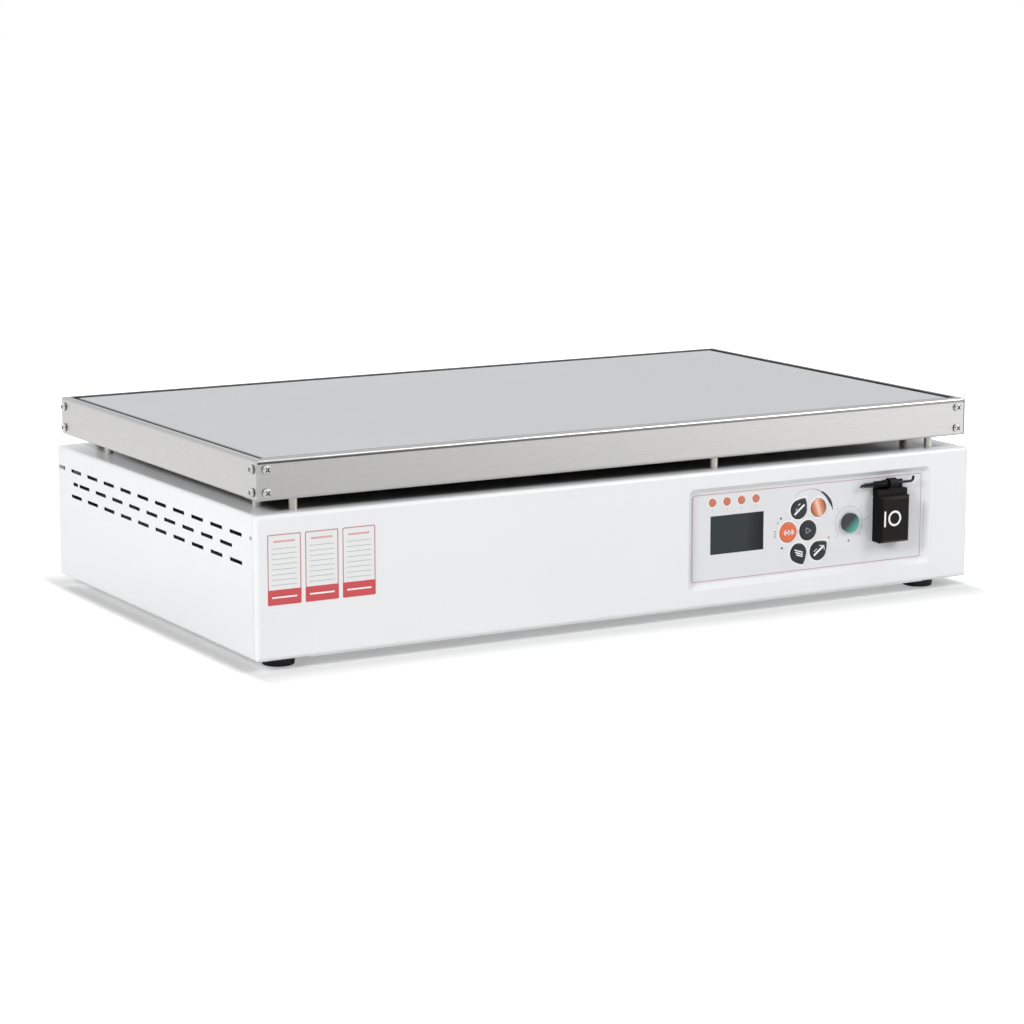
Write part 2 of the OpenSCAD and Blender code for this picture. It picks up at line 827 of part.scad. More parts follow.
function stud_places() = [for (s = stud_share) [s[0] * plate_w, s[1] * plate_d]];

// Stack under the plate, from the top down
heater_z = plate_z - heater_t;
clamp_z = heater_z - clamp_t;
tray_z = head_z + strip_t;
tray_top = tray_z + tray_t;
blanket_z = tray_top;
blanket_t = clamp_z - tray_top;
heater_w_share = 0.28;
heater_d_share = 0.86;
heater_pitch_share = 0.31;
heater_w = plate_w * heater_w_share;
heater_d = plate_d * heater_d_share;
heater_pitch = plate_w * heater_pitch_share;
heater_count = 3;
terminal_d = 5;
terminal_l = 9;
bushing_d = 24;
bushing_place_share = [0.28, 0.12];
bushing_x = plate_w * bushing_place_share[0];
bushing_y = plate_d * bushing_place_share[1];

module stud_holes(z, h, r) {
  for (p = stud_places()) {
    translate([p[0], p[1], z - over]) cylinder(r = r, h = h + 2 * over);
  }
}

// Flat mica heaters, clear of the studs
module heater_elements() {
  color("peru")
  difference() {
    for (i = [0 : heater_count - 1]) {
      translate([(i - 1) * heater_pitch - heater_w / 2, -heater_d / 2, heater_z])
        cube([heater_w, heater_d, heater_t]);
    }
    stud_holes(heater_z, heater_t, spacer_d / 2 + lay_gap);
    translate([sensor_x, sensor_y, heater_z - over])
      cylinder(d = sensor_well_d, h = heater_t + 2 * over);
  }
}

function terminal_places() = [
  for (i = [0 : heater_count - 1])
  for (s = [-1, 1])
  [(i - 1) * heater_pitch + s * terminal_pitch / 2, terminal_y]
];
terminal_pitch = 24;
terminal_row_share = 0.32;
terminal_y = heater_d * terminal_row_share;
sensor_well_d = 11;
sensor_place_share = [0.105, -0.12];
sensor_x = plate_w * sensor_place_share[0];
sensor_y = plate_d * sensor_place_share[1];
stack_share = [0.94, 0.92];
stack_w = plate_w * stack_share[0];
stack_d = plate_d * stack_share[1];

// Ceramic terminals of the heaters, through the clamp plate, blanket and tray
module heater_terminals() {
  pin_share = 0.5;
  color("ivory")
  for (p = terminal_places()) {
    translate([p[0], p[1], heater_z - clamp_t - blanket_t - tray_t - over])
    union() {
      cylinder(d = terminal_d, h = clamp_t + blanket_t + tray_t + over);
      translate([0, 0, -terminal_l * pin_share])
        cylinder(d = terminal_d * pin_share, h = terminal_l * pin_share);
    }
  }
}

module terminal_holes(z, h) {
  for (p = terminal_places()) {
    translate([p[0], p[1], z - over]) cylinder(d = terminal_d + 2 * lay_gap, h = h + 2 * over);
  }
}

// Steel sheet that presses the heaters against the plate
module clamp_plate() {
  color("slategray")
  difference() {
    translate([-stack_w / 2, -stack_d / 2, clamp_z]) cube([stack_w, stack_d, clamp_t]);
    stud_holes(clamp_z, clamp_t, spacer_d / 2 + lay_gap);
    terminal_holes(clamp_z, clamp_t);
    translate([sensor_x, sensor_y, clamp_z - over])
      cylinder(d = sensor_well_d, h = clamp_t + 2 * over);
  }
}

// Ceramic fibre blanket between the clamp plate and the tray
module insulation_blanket() {
  color("floralwhite")
  difference() {
    translate([-stack_w / 2, -stack_d / 2, blanket_z]) cube([stack_w, stack_d, blanket_t]);
    stud_holes(blanket_z, blanket_t, spacer_d / 2 + lay_gap);
    terminal_holes(blanket_z, blanket_t);
    translate([sensor_x, sensor_y, blanket_z - over])
      cylinder(d = sensor_well_d, h = blanket_t + 2 * over);
  }
}

// Thin steel tray that closes the head from below and lies on the frame's flanges
module drip_tray() {
  w = head_w - 2 * (flange_w - tray_overlap);
  d = head_d - 2 * (flange_w - tray_overlap);
  color("dimgray")
  difference() {
    translate([-w / 2, -d / 2, tray_z]) cube([w, d, tray_t]);
    stud_holes(tray_z, tray_t, m5_d / 2 + fit_gap);
    terminal_holes(tray_z, tray_t);
    translate([sensor_x, sensor_y, tray_z - over])
      cylinder(d = sensor_well_d, h = tray_t + 2 * over);
  }
}

// Studs from the plate down through the spacers and the tray, with nuts under the tray
stud_top = plate_z + plate_t / 2;
stud_low = tray_z - m5_d * nut_rise_share - over;

module plate_studs() {
  color("silver")
  for (p = stud_places()) {
    translate([p[0], p[1], stud_low]) cylinder(d = m5_d, h = stud_top - stud_low);
  }
}

module stud_spacers() {
  color("ivory")
  difference() {
    for (p = stud_places()) {
      translate([p[0], p[1], tray_top]) cylinder(d = spacer_d, h = plate_z - tray_top);
    }
    stud_holes(tray_top, plate_z - tray_top, m5_d / 2 + fit_gap);
  }
}

module large_nuts() {
  color("silver") {
    for (p = stud_places()) {
      translate([p[0], p[1], tray_z - m5_d * nut_rise_share]) hex_nut(m5_d);
    }
    for (p = foot_places()) {
      translate([p[0], p[1], base_z + sheet_t]) hex_nut(m5_d);
    }
    translate([earth_x, rear_y - sheet_t, housing_z + inlet_z]) rotate([90, 0, 0]) hex_nut(m5_d);
  }
}

// Spacer posts between the housing's top and the frame's flange, along each strip as far as the
// housing reaches under it
function post_places() =
  let (w = min(head_w, housing_w - 2 * post_edge), d = min(head_d, housing_d - 2 * post_edge))
  concat(
    [for (x = [-w / 2 + post_near + lip_w, post_mid, w / 2 - post_near])
      [x, -head_d / 2 + post_inset_front]],
    [for (x = [w / 2 - post_near - lip_w, -post_mid, -w / 2 + post_near])
      [x, head_d / 2 - post_inset_front]],
    [for (y = [-d / 2 + post_side_near, d / 2 - post_side_far])
      [-head_w / 2 + post_inset_side, y]],
    [for (y = [d / 2 - post_side_near, -d / 2 + post_side_far])
      [head_w / 2 - post_inset_side, y]]
  );

module spacer_posts() {
  color([0.86, 0.85, 0.78])
  for (p = post_places()) {
    translate([p[0], p[1], housing_top])
    difference() {
      cylinder(d = post_d, h = head_gap);
      translate([0, 0, -over]) cylinder(r = m4_d / 2 + fit_gap, h = head_gap + 2 * over);
    }
  }
}

module post_screws() {
  l = sheet_t + head_gap + strip_t + m4_d * nut_rise_share + over;
  color("silver")
  for (p = post_places()) {
    translate([p[0], p[1], housing_top - sheet_t]) mirror([0, 0, 1])
      pan_screw(m4_d, m4_head_d, m4_head_h, l);
  }
}

module post_nuts() {
  color("silver")
  for (p = post_places()) {
    translate([p[0], p[1], head_z + strip_t]) hex_nut(m4_d);
  }
}

// Temperature probe held against the plate by its spring plate, with its lead down to the bushing
module plate_sensor() {
  probe_d = 6;
  probe_l = plate_z - tray_top;
  disc_share = 1.5;
  disc_t = 1.5;
  color("silver")
  translate([sensor_x, sensor_y, 0])
  union() {
    translate([0, 0, plate_z - probe_l]) cylinder(d = probe_d, h = probe_l);
    translate([0, 0, plate_z - disc_t]) cylinder(d = probe_d * disc_share, h = disc_t);
    translate([0, 0, tray_z - over]) cylinder(d = probe_d, h = tray_t + over);
  }
}

// Bushing that takes the leads through the housing's top
bushing_bore = 14;

module lead_bushing() {
  rim = 2.5;
  rim_d = bushing_d + 2 * rim;
  rim_t = 1.5;
  inside = 5;
  color([0.12, 0.12, 0.12])
  translate([bushing_x, bushing_y, housing_top])
  difference() {
    union() {
      cylinder(d = rim_d, h = rim_t);
      translate([0, 0, -sheet_t - inside]) cylinder(d = bushing_d, h = sheet_t + inside);
      translate([0, 0, -sheet_t - rim_t]) cylinder(d = rim_d, h = rim_t);
    }
    translate([0, 0, -sheet_t - inside - over])
      cylinder(d = bushing_bore, h = sheet_t + inside + rim_t + 2 * over);
  }
}

// Printed overlay on the recess's floor, with openings for what shows through it
module panel_overlay() {
  color([0.88, 0.89, 0.91])
  difference() {
    on_panel(0, 0, floor_y) linear_extrude(overlay_t) round_rect(overlay_w, overlay_h, overlay_r);
    panel_cuts(face_y - over, overlay_t + 2 * over);
  }
}

// Display: a dark glass in the window, and the module behind it
module display_glass() {
  color([0.24, 0.28, 0.27])
  on_panel(lcd_x, lcd_z, floor_y + floor_t) linear_extrude(floor_t + lcd_glass_t / 4)
    square([lcd_w - 2 * fit_gap, lcd_h - 2 * fit_gap], center = true);
}

module display_module() {
  rim = 3;
  t = board_gap - lay_gap / 2;
  color([0.2, 0.2, 0.2])
  on_panel(lcd_x, lcd_z, floor_back + t) linear_extrude(t)
    square([lcd_w + 2 * rim, lcd_h + 2 * rim], center = true);
}

module status_lamps() {
  stem = board_gap;
  color([0.9, 0.47, 0.28])
  for (i = [0 : lamp_count - 1]) {
    on_panel(lamp_x + i * lamp_pitch, lamp_z, board_y)
      cylinder(d = lamp_d, h = stem + floor_t + overlay_t + lamp_proud);
  }
}

// Board behind the keys and the display, with a push contact under each key
module control_board() {
  color([0.1, 0.4, 0.2])
  union() {
    difference() {
      on_panel(board_x, 0, board_y + board_t) linear_extrude(board_t)
        square([board_w, board_h], center = true);
      for (p = board_post_places()) {
        on_panel(p[0], p[1], board_y + board_t + over)
          cylinder(r = m3_d / 2 + fit_gap, h = board_t + 2 * over);
      }
    }
    for (k = [0 : 5]) {
      p = key_place(k);
      on_panel(p[0], p[1], board_y) linear_extrude(tact_h) square(tact_w, center = true);
    }
  }
}

function board_post_places() = [
  for (sx = [-1, 1])
  for (sz = [-1, 1])
  [board_x + sx * (board_w / 2 - board_screw_in), sz * (board_h / 2 - board_screw_in)]
];

small_screw_l = 7.5;

module board_posts() {
  post = 6;
  bore = small_screw_l - board_t + lay_gap;
  color("silver")
  for (p = board_post_places()) {
    difference() {
      on_panel(p[0], p[1], board_y) cylinder(d = post, h = board_gap);
      on_panel(p[0], p[1], board_y + over) cylinder(r = m3_d / 2 + fit_gap, h = bore + over);
    }
  }
}

// A key: printed cap through the panel, a lip behind it and a stem over its push contact
module key_cap(k) {
  p = key_place(k);
  back = floor_back + fit_gap;
  stem_l = board_gap - tact_h - key_lip_t - key_rest_share * key_travel;
  on_panel(p[0], p[1], back)
  linear_extrude(back - face_y + key_proud) key_outline(k, 0);
  on_panel(p[0], p[1], back + key_lip_t) linear_extrude(key_lip_t) key_outline(k, key_lip);
  on_panel(p[0], p[1], back + key_lip_t + stem_l) cylinder(d = tact_w / 2, h = stem_l + over / 2);
}

module key_top_left() {
  color([0.2, 0.2, 0.22]) key_cap(0);
}

module key_top_right() {
  color([0.85, 0.5, 0.35]) key_cap(1);
}

module key_left() {
  color([0.92, 0.45, 0.2]) key_cap(2);
}

module key_centre() {
  color([0.2, 0.2, 0.22]) key_cap(3);
}

module key_bottom_left() {
  color([0.2, 0.2, 0.22]) key_cap(4);
}

module key_bottom_right() {
  color([0.2, 0.2, 0.22]) key_cap(5);
}

// Over-temperature limiter: dial on a shaft that turns in the thermostat's bore
module limiter_dial() {
  chamfer = 0.5;
  color([0.25, 0.25, 0.26])
  difference() {
    on_panel(dial_x, 0, face_y - lay_gap)
    union() {
      cylinder(d = dial_d, h = dial_h - lay_gap - chamfer);
      translate([0, 0, dial_h - lay_gap - chamfer])
        cylinder(d1 = dial_d, d2 = dial_d - 2 * chamfer, h = chamfer);
    }
    on_panel(dial_x, 0, face_y + over)
      cylinder(r = shaft_d / 2 + fit_gap, h = dial_h / 2 + over);
  }
}

module limiter_shaft() {
  inside = thermostat_d * shaft_depth_share;
  color("silver")
  on_panel(dial_x, 0, floor_back + inside)
    cylinder(d = shaft_d, h = inside + floor_back - face_y + dial_h / 2 - lay_gap);
}

module limiter_thermostat() {
  bush = 12;
  tab_t = 1;
  color("tan")
  difference() {
    union() {
      on_panel(dial_x, 0, floor_back + thermostat_d) linear_extrude(thermostat_d)
        round_rect(thermostat_w, thermostat_h, bush / 4);
      for (s = [-1, 1]) {
        on_panel(dial_x + s * thermostat_w / 4, thermostat_h / 4, floor_back + thermostat_d + bush / 2)
          cube([bush / 2, tab_t, bush], center = true);
      }
    }
    on_panel(dial_x, 0, floor_back + thermostat_d * shaft_depth_share + over)
      cylinder(r = shaft_d / 2 + fit_gap, h = thermostat_d * shaft_depth_share + 2 * over);
  }
}

// Capillary from the thermostat up through the bushing, and its bulb under the plate
module limiter_capillary() {
  d = 2;
  x = panel_x + dial_x;
  y0 = floor_back + thermostat_d;
  z0 = panel_z - thermostat_h / 4;
  top = tray_z - d;
  route = [
    [x, y0, z0],
    [x, y0 + 14, z0],
    [x - 4, y0 + 26, z0 + 6],
    [x - 10, y0 + 50, z0 + 16],
    [bushing_x + 12, bushing_y - 40, housing_top - 18],
    [bushing_x + 4, bushing_y - 10, housing_top - 16],
    [bushing_x + 3, bushing_y, housing_top - 8],
    [bushing_x + 3, bushing_y, housing_top],
    [bushing_x + 3, bushing_y, housing_top + 3.5],
    [bushing_x + 1, bushing_y - 2, top - 1],
    [bushing_x - 4, bushing_y - 7, top]
  ];
  color("peru") tube(route, d, 8);
  color("peru") translate([bushing_x - 4, bushing_y - 7, top]) rotate([0, -90, 0])
    cylinder(d = 2 * d, h = bulb_l);
}

// Rocker switch: rim and body in the panel, blades behind it
module switch_body() {
  pocket_w = rocker_w + 2 * lay_gap;
  pocket_h = rocker_h + 4 * lay_gap;
  pocket_d = 9;
  blade_pitch = 8.5;
  color([0.07, 0.07, 0.08])
  difference() {
    union() {
      on_panel(switch_x, switch_z, face_y) linear_extrude(switch_rim)
        round_rect(switch_w, switch_h, switch_r);
      on_panel(switch_x, switch_z, face_y + switch_depth) linear_extrude(switch_depth)
        square([switch_cut_w, switch_cut_h], center = true);
      for (sx = [-1, 1]) {
        for (i = [-1, 0, 1]) {
          on_panel(switch_x + sx * switch_cut_w / 4, switch_z + i * blade_pitch,
            face_y + switch_depth + blade_l / 2)
            cube([blade_t, blade_w, blade_l], center = true);
        }
      }
    }
    on_panel(switch_x, switch_z, face_y + pocket_d) linear_extrude(pocket_d + switch_rim + over)
      square([pocket_w, pocket_h], center = true);
    on_panel(switch_x, switch_z, face_y + rocker_pivot) rotate([0, 90, 0])
      cylinder(r = rocker_hub_d / 2 + fit_gap, h = rocker_w + 2 * rocker_hub_l + fit_gap,
        center = true);
  }
}

// Rocker: a wedge of a cylinder on a cross pin, lying on its lower half when off
module switch_rocker() {
  pivot_y = face_y + rocker_pivot;
  dip = 2.4;
  deep = 4.5;
  color([0.1, 0.1, 0.11])
  translate([panel_x + switch_x, pivot_y, panel_z + switch_z]) rotate([rocker_tilt, 0, 0])
  rotate([0, 90, 0]) {
    cylinder(d = rocker_hub_d, h = rocker_w + 2 * rocker_hub_l - fit_gap, center = true);
    linear_extrude(rocker_w, center = true)
      difference() {
        translate([-rocker_h / 2 + lay_gap, -deep]) square([rocker_h - 2 * lay_gap, 2 * deep]);
        translate([0, -deep - rocker_r + dip]) circle(rocker_r, $fn = 96);
        for (s = [-1, 1]) {
          translate([s * rocker_h / 2, deep]) rotate([0, 0, s * -30])
            square([rocker_h / 2, deep], center = true);
        }
      }
  }
}

// Plastic pad under the flip cover's hinge, with two lugs for the pin
module cover_base() {
  pad_low = switch_z + switch_h / 2 + lay_gap;
  pad_over = 1.6;
  pad_h = hinge_z + pad_over - pad_low;
  lug_r = 2.2;
  color([0.07, 0.07, 0.08])
  difference() {
    union() {
      on_panel(switch_x, pad_low + pad_h / 2, face_y) linear_extrude(base_pad_t)
        square([cover_w, pad_h], center = true);
      for (s = [-1, 1]) {
        on_panel(switch_x + s * (ear_w / 2 + lug_gap + lug_w / 2), hinge_z, face_y - hinge_out)
          rotate([0, 90, 0]) cylinder(r = lug_r, h = lug_w, center = true);
        on_panel(switch_x + s * (ear_w / 2 + lug_gap + lug_w / 2), hinge_z,
          face_y - hinge_out / 2)
          cube([lug_w, 2 * lug_r, hinge_out], center = true);
      }
    }
    on_panel(switch_x, hinge_z, face_y - hinge_out) rotate([0, 90, 0])
      cylinder(r = pin_d / 2 + fit_gap, h = cover_w, center = true);
  }
}

// Flip cover: an open box with bevelled front edges over the rocker, with a lower strip along its
// top, hung by its ear on the pin
cover_top = hinge_z - ear_r - lay_gap;

module switch_cover() {
  bevel = 2;
  inner_w = cover_w - 2 * cover_wall;
  box_top = cover_top - cover_step_h;
  box_h = cover_h - cover_step_h;
  box_z = box_top - box_h / 2;
  stand = lay_gap;
  d = cover_depth - stand;
  pad_clear = base_pad_t + lay_gap - stand;
  color([0.08, 0.08, 0.09])
  difference() {
    union() {
      on_panel(switch_x, box_z, face_y - stand) bevelled_box(cover_w, box_h, d, bevel);
      on_panel(switch_x, cover_top - (cover_step_h + over) / 2, face_y - stand)
        linear_extrude(cover_step_d - stand)
          square([cover_w, cover_step_h + over], center = true);
      on_panel(switch_x, hinge_z, face_y - hinge_out) rotate([0, 90, 0])
        cylinder(r = ear_r, h = ear_w, center = true);
      on_panel(switch_x, (hinge_z + cover_top) / 2 - over, face_y - hinge_out)
        cube([ear_w, hinge_z - cover_top + 2 * over, ear_r], center = true);
    }
    on_panel(switch_x, box_z, face_y - stand + over)
      bevelled_box(inner_w, box_h - 2 * cover_wall, d - cover_wall + over, bevel);
    on_panel(switch_x, cover_top - cover_wall - (cover_step_h + over) / 2, face_y + over)
      linear_extrude(over + cover_step_d - cover_wall)
        square([inner_w, cover_step_h + over], center = true);
    on_panel(switch_x, cover_top, face_y) translate([0, 0, pad_clear / 2])
      cube([cover_w + over, 2 * (cover_top - switch_z - switch_h / 2) + 2 * lay_gap,
        pad_clear + stand + lay_gap], center = true);
    on_panel(switch_x, hinge_z, face_y - hinge_out) rotate([0, 90, 0])
      cylinder(r = pin_d / 2 + fit_gap, h = ear_w + 2 * over, center = true);
  }
}

module bevelled_box(w, h, d, b) {
  intersection() {
    linear_extrude(d) square([w, h], center = true);
    rotate([90, 0, 0]) linear_extrude(h + over, center = true) cover_section(w, d, b);
    rotate([90, 0, 90]) linear_extrude(w + over, center = true) cover_section(h, d, b);
  }
}

module cover_section(w, d, b) {
  polygon([[-w / 2, 0], [w / 2, 0], [w / 2, d - b], [w / 2 - b, d], [-w / 2 + b, d],
    [-w / 2, d - b]]);
}

// Hinge pin: a steel wire with a hook at its right end
module cover_pin() {
  color([0.1, 0.1, 0.12])
  translate([panel_x + switch_x, face_y - hinge_out, panel_z + hinge_z]) {
    translate([-pin_left, 0, 0]) rotate([0, 90, 0]) cylinder(d = pin_d, h = pin_left + pin_right);
    translate([pin_right, 0, hook_r]) rotate([90, 0, 0]) rotate([0, 0, -90])
      rotate_extrude(angle = 90) translate([hook_r, 0]) circle(d = pin_d, $fn = 24);
    translate([pin_right + hook_r, 0, hook_r]) cylinder(d = pin_d, h = hook_r / 2);
  }
}

// Closing spring: wound on the pin, from the panel's face to the left lug
function spring_coil(n) = [
  for (i = [0 : 8 * n])
  [i / 8 * spring_pitch, spring_r * sin(-45 * i), -spring_r * cos(45 * i)]
];

module cover_spring() {
  start_x = -pin_left + pin_d;
  coil = spring_coil(spring_turns);
  last_p = coil[len(coil) - 1];
  lug_face = -(ear_w / 2 + lug_gap + lug_w);
  bend = lug_face - start_x - last_p[0];
  bend_shares = [[0.3, 0.25], [0.6, 0.3], [1, 0.3]];
  lead_in = [[0, hinge_out, -spring_r], [0, hinge_out / 2, -spring_r]];
  lead_out = [for (s = bend_shares) last_p + bend * [s[0], -s[1], 0]];
  route = concat(lead_in, coil, lead_out);
  gap = spring_pitch - spring_wire;
  echo(least_spring_gap = gap);
  color("silver")
  translate([panel_x + switch_x + start_x, face_y - hinge_out, panel_z + hinge_z])
    tube(route, spring_wire, 6);
}

// Supply and switching boards on the base plate
power_x = 60;
power_y = 60;
power_w = 130;
power_d = 90;
power_stand = 8;
relay_x = -110;
relay_y = 20;
relay_w = 45;
relay_d = 58;
relay_h = 24;
relay_screw_d = 8;
relay_screw_h = 4;
sink_w = 80;
sink_d = 120;
sink_h = 32;
sink_base = 6;
sink_fins = 9;
sink_fin_t = 2;

// Parts on the supply board: left, front, width, depth and height, as shares of the board's width,
// depth and tallest part; then the capacitors' middles
power_part_shares = [[0.06, 0.13, 0.34, 0.42, 1], [0.69, 0.67, 0.22, 0.22, 0.47],
  [0.03, 0.8, 0.54, 0.13, 0.41]];
power_can_shares = [[0.53, 0.68], [0.66, 0.68]];
power_tall = 34;
power_can_d = 15;
power_can_h = 24;

module power_board() {
  z = base_z + sheet_t;
  leg_d = 7;
  leg_in = 6;
  color([0.1, 0.4, 0.2])
  translate([power_x, power_y, z])
  union() {
    for (sx = [-1, 1]) {
      for (sy = [-1, 1]) {
        translate([sx * (power_w / 2 - leg_in), sy * (power_d / 2 - leg_in), 0])
          cylinder(d = leg_d, h = power_stand);
      }
    }
    translate([-power_w / 2, -power_d / 2, power_stand]) cube([power_w, power_d, board_t]);
    translate([-power_w / 2, -power_d / 2, power_stand + board_t]) {
      for (p = power_part_shares) {
        translate([p[0] * power_w, p[1] * power_d, 0])
          cube([p[2] * power_w, p[3] * power_d, p[4] * power_tall]);
      }
      for (p = power_can_shares) {
        translate([p[0] * power_w, p[1] * power_d, 0]) cylinder(d = power_can_d, h = power_can_h);
      }
    }
  }
}

module heat_sink() {
  z = base_z + sheet_t;
  color("lightgray")
  translate([relay_x, relay_y, z])
  union() {
    translate([-sink_w / 2, -sink_d / 2, sink_h - sink_base]) cube([sink_w, sink_d, sink_base]);
    for (i = [0 : sink_fins - 1]) {
      translate([-sink_w / 2 + i * (sink_w - sink_fin_t) / (sink_fins - 1), -sink_d / 2, 0])
        cube([sink_fin_t, sink_d, sink_h - sink_base]);
    }
  }
}

module solid_state_relay() {
  z = base_z + sheet_t + sink_h;
  color([0.85, 0.85, 0.8])
  translate([relay_x, relay_y, z])
  union() {
    translate([-relay_w / 2, -relay_d / 2, 0]) cube([relay_w, relay_d, relay_h]);
    for (sx = [-1, 1]) {
      for (sy = [-1, 1]) {
        translate([sx * relay_w / 4, sy * (relay_d / 2 - relay_screw_d), relay_h])
          cylinder(d = relay_screw_d, h = relay_screw_h);
      }
    }
  }
}

// Mains inlet with its shroud, screw ears and three flat pins
module mains_inlet() {
  pin_w = 8;
  pin_t = 2;
  ear_corner_r = 4;
  color([0.08, 0.08, 0.08])
  translate([inlet_x, rear_y, housing_z + inlet_z]) to_rear()
  difference() {
    union() {
      linear_extrude(inlet_rim) round_rect(inlet_w, inlet_h, ear_corner_r);
      translate([0, 0, -inlet_mouth_d - inlet_back_t + inlet_rim])
        linear_extrude(inlet_mouth_d + inlet_back_t)
          square([inlet_mouth_w + 2 * inlet_wall, inlet_mouth_h + 2 * inlet_wall], center = true);
      for (i = [-1, 0, 1]) {
        translate([i * inlet_mouth_w / 4, 0, inlet_rim - inlet_mouth_d - inlet_back_t - blade_l / 2])
          cube([blade_t, blade_w, blade_l], center = true);
      }
    }
    difference() {
      translate([0, 0, inlet_rim - inlet_mouth_d])
        linear_extrude(inlet_mouth_d + over) square([inlet_mouth_w, inlet_mouth_h], center = true);
      for (i = [-1, 1]) {
        translate([i * inlet_mouth_w / 4, -inlet_mouth_h / 6,
          inlet_rim - inlet_mouth_d + inlet_pin_l / 2])
          cube([pin_w, pin_t, inlet_pin_l], center = true);
      }
      translate([0, inlet_mouth_h / 5, inlet_rim - inlet_mouth_d + inlet_pin_l / 2])
        cube([pin_w, pin_t, inlet_pin_l], center = true);
    }
    for (s = [-1, 1]) {
      translate([s * inlet_screw_pitch / 2, 0, -over])
        cylinder(r = m3_d / 2 + fit_gap, h = inlet_rim + 2 * over);
    }
  }
}

// Screws of the inlet and of the control board
module small_screws() {
  color("silver") {
    for (s = [-1, 1]) {
      translate([inlet_x + s * inlet_screw_pitch / 2, rear_y + inlet_rim, housing_z + inlet_z])
        to_rear() pan_screw(m3_d, m3_head_d, m3_head_h, small_screw_l);
    }
    for (p = board_post_places()) {
      on_panel(p[0], p[1], board_y + board_t) mirror([0, 0, 1])
        pan_screw(m3_d, m3_head_d, m3_head_h, small_screw_l);
    }
  }
}

// Fuse holder through the rear wall, and the cap that turns a quarter turn to free the fuse
stem_d = 9;
stem_l = 12;

module fuse_holder() {
  color([0.1, 0.1, 0.1])
  translate([fuse_x, rear_y, housing_z + inlet_z]) to_rear()
  difference() {
    union() {
      cylinder(d = holder_flange_d, h = holder_flange_t);
      translate([0, 0, -holder_l]) cylinder(d = holder_d, h = holder_l);
    }
    translate([0, 0, -holder_l + sheet_t])
      cylinder(d = stem_d + 2 * lay_gap, h = holder_l + holder_flange_t);
  }
}

module fuse_cap() {
  grip_w = 3;
  color([0.14, 0.14, 0.14])
  translate([fuse_x, rear_y + holder_flange_t, housing_z + inlet_z]) to_rear()
  difference() {
    union() {
      translate([0, 0, lay_gap]) cylinder(d = cap_d, h = cap_proud - holder_flange_t - lay_gap);
      translate([0, 0, -stem_l]) cylinder(d = stem_d, h = stem_l + over);
    }
    translate([0, 0, -stem_l - over]) cylinder(r = fuse_d / 2 + fit_gap, h = fuse_l / 3 + over);
    for (s = [-1, 1]) {
      translate([s * (cap_d / 2 + grip_w / 4), 0, cap_proud - holder_flange_t])
        cube([grip_w, cap_d, cap_proud], center = true);
    }
  }
}

// Glass fuse held in the cap's clip
module fuse() {
  end_l = 5;
  glass_d_share = 0.9;
  color("gainsboro")
  translate([fuse_x, rear_y + holder_flange_t - stem_l + fuse_l / 3, housing_z + inlet_z])
    to_front() mirror([0, 0, 1]) translate([0, 0, -fuse_l]) {
      cylinder(d = fuse_d, h = end_l);
      translate([0, 0, end_l - lay_gap])
        cylinder(d = fuse_d * glass_d_share, h = fuse_l - 2 * end_l + 2 * lay_gap);
      translate([0, 0, fuse_l - end_l]) cylinder(d = fuse_d, h = end_l);
    }
}

// Earth stud, its flat head on the outside of the rear wall
module earth_stud() {
  l = 14;
  head_t = 1.6;
  color("goldenrod")
  translate([earth_x, rear_y, housing_z + inlet_z]) rotate([90, 0, 0]) {
    cylinder(d = m5_d, h = l);
    translate([0, 0, -head_t]) cylinder(d = m5_head_d, h = head_t);
  }
}

// Leads inside the housing and under the plate, each held at both ends
lead_d = 2.6;
thin_lead_d = 2;

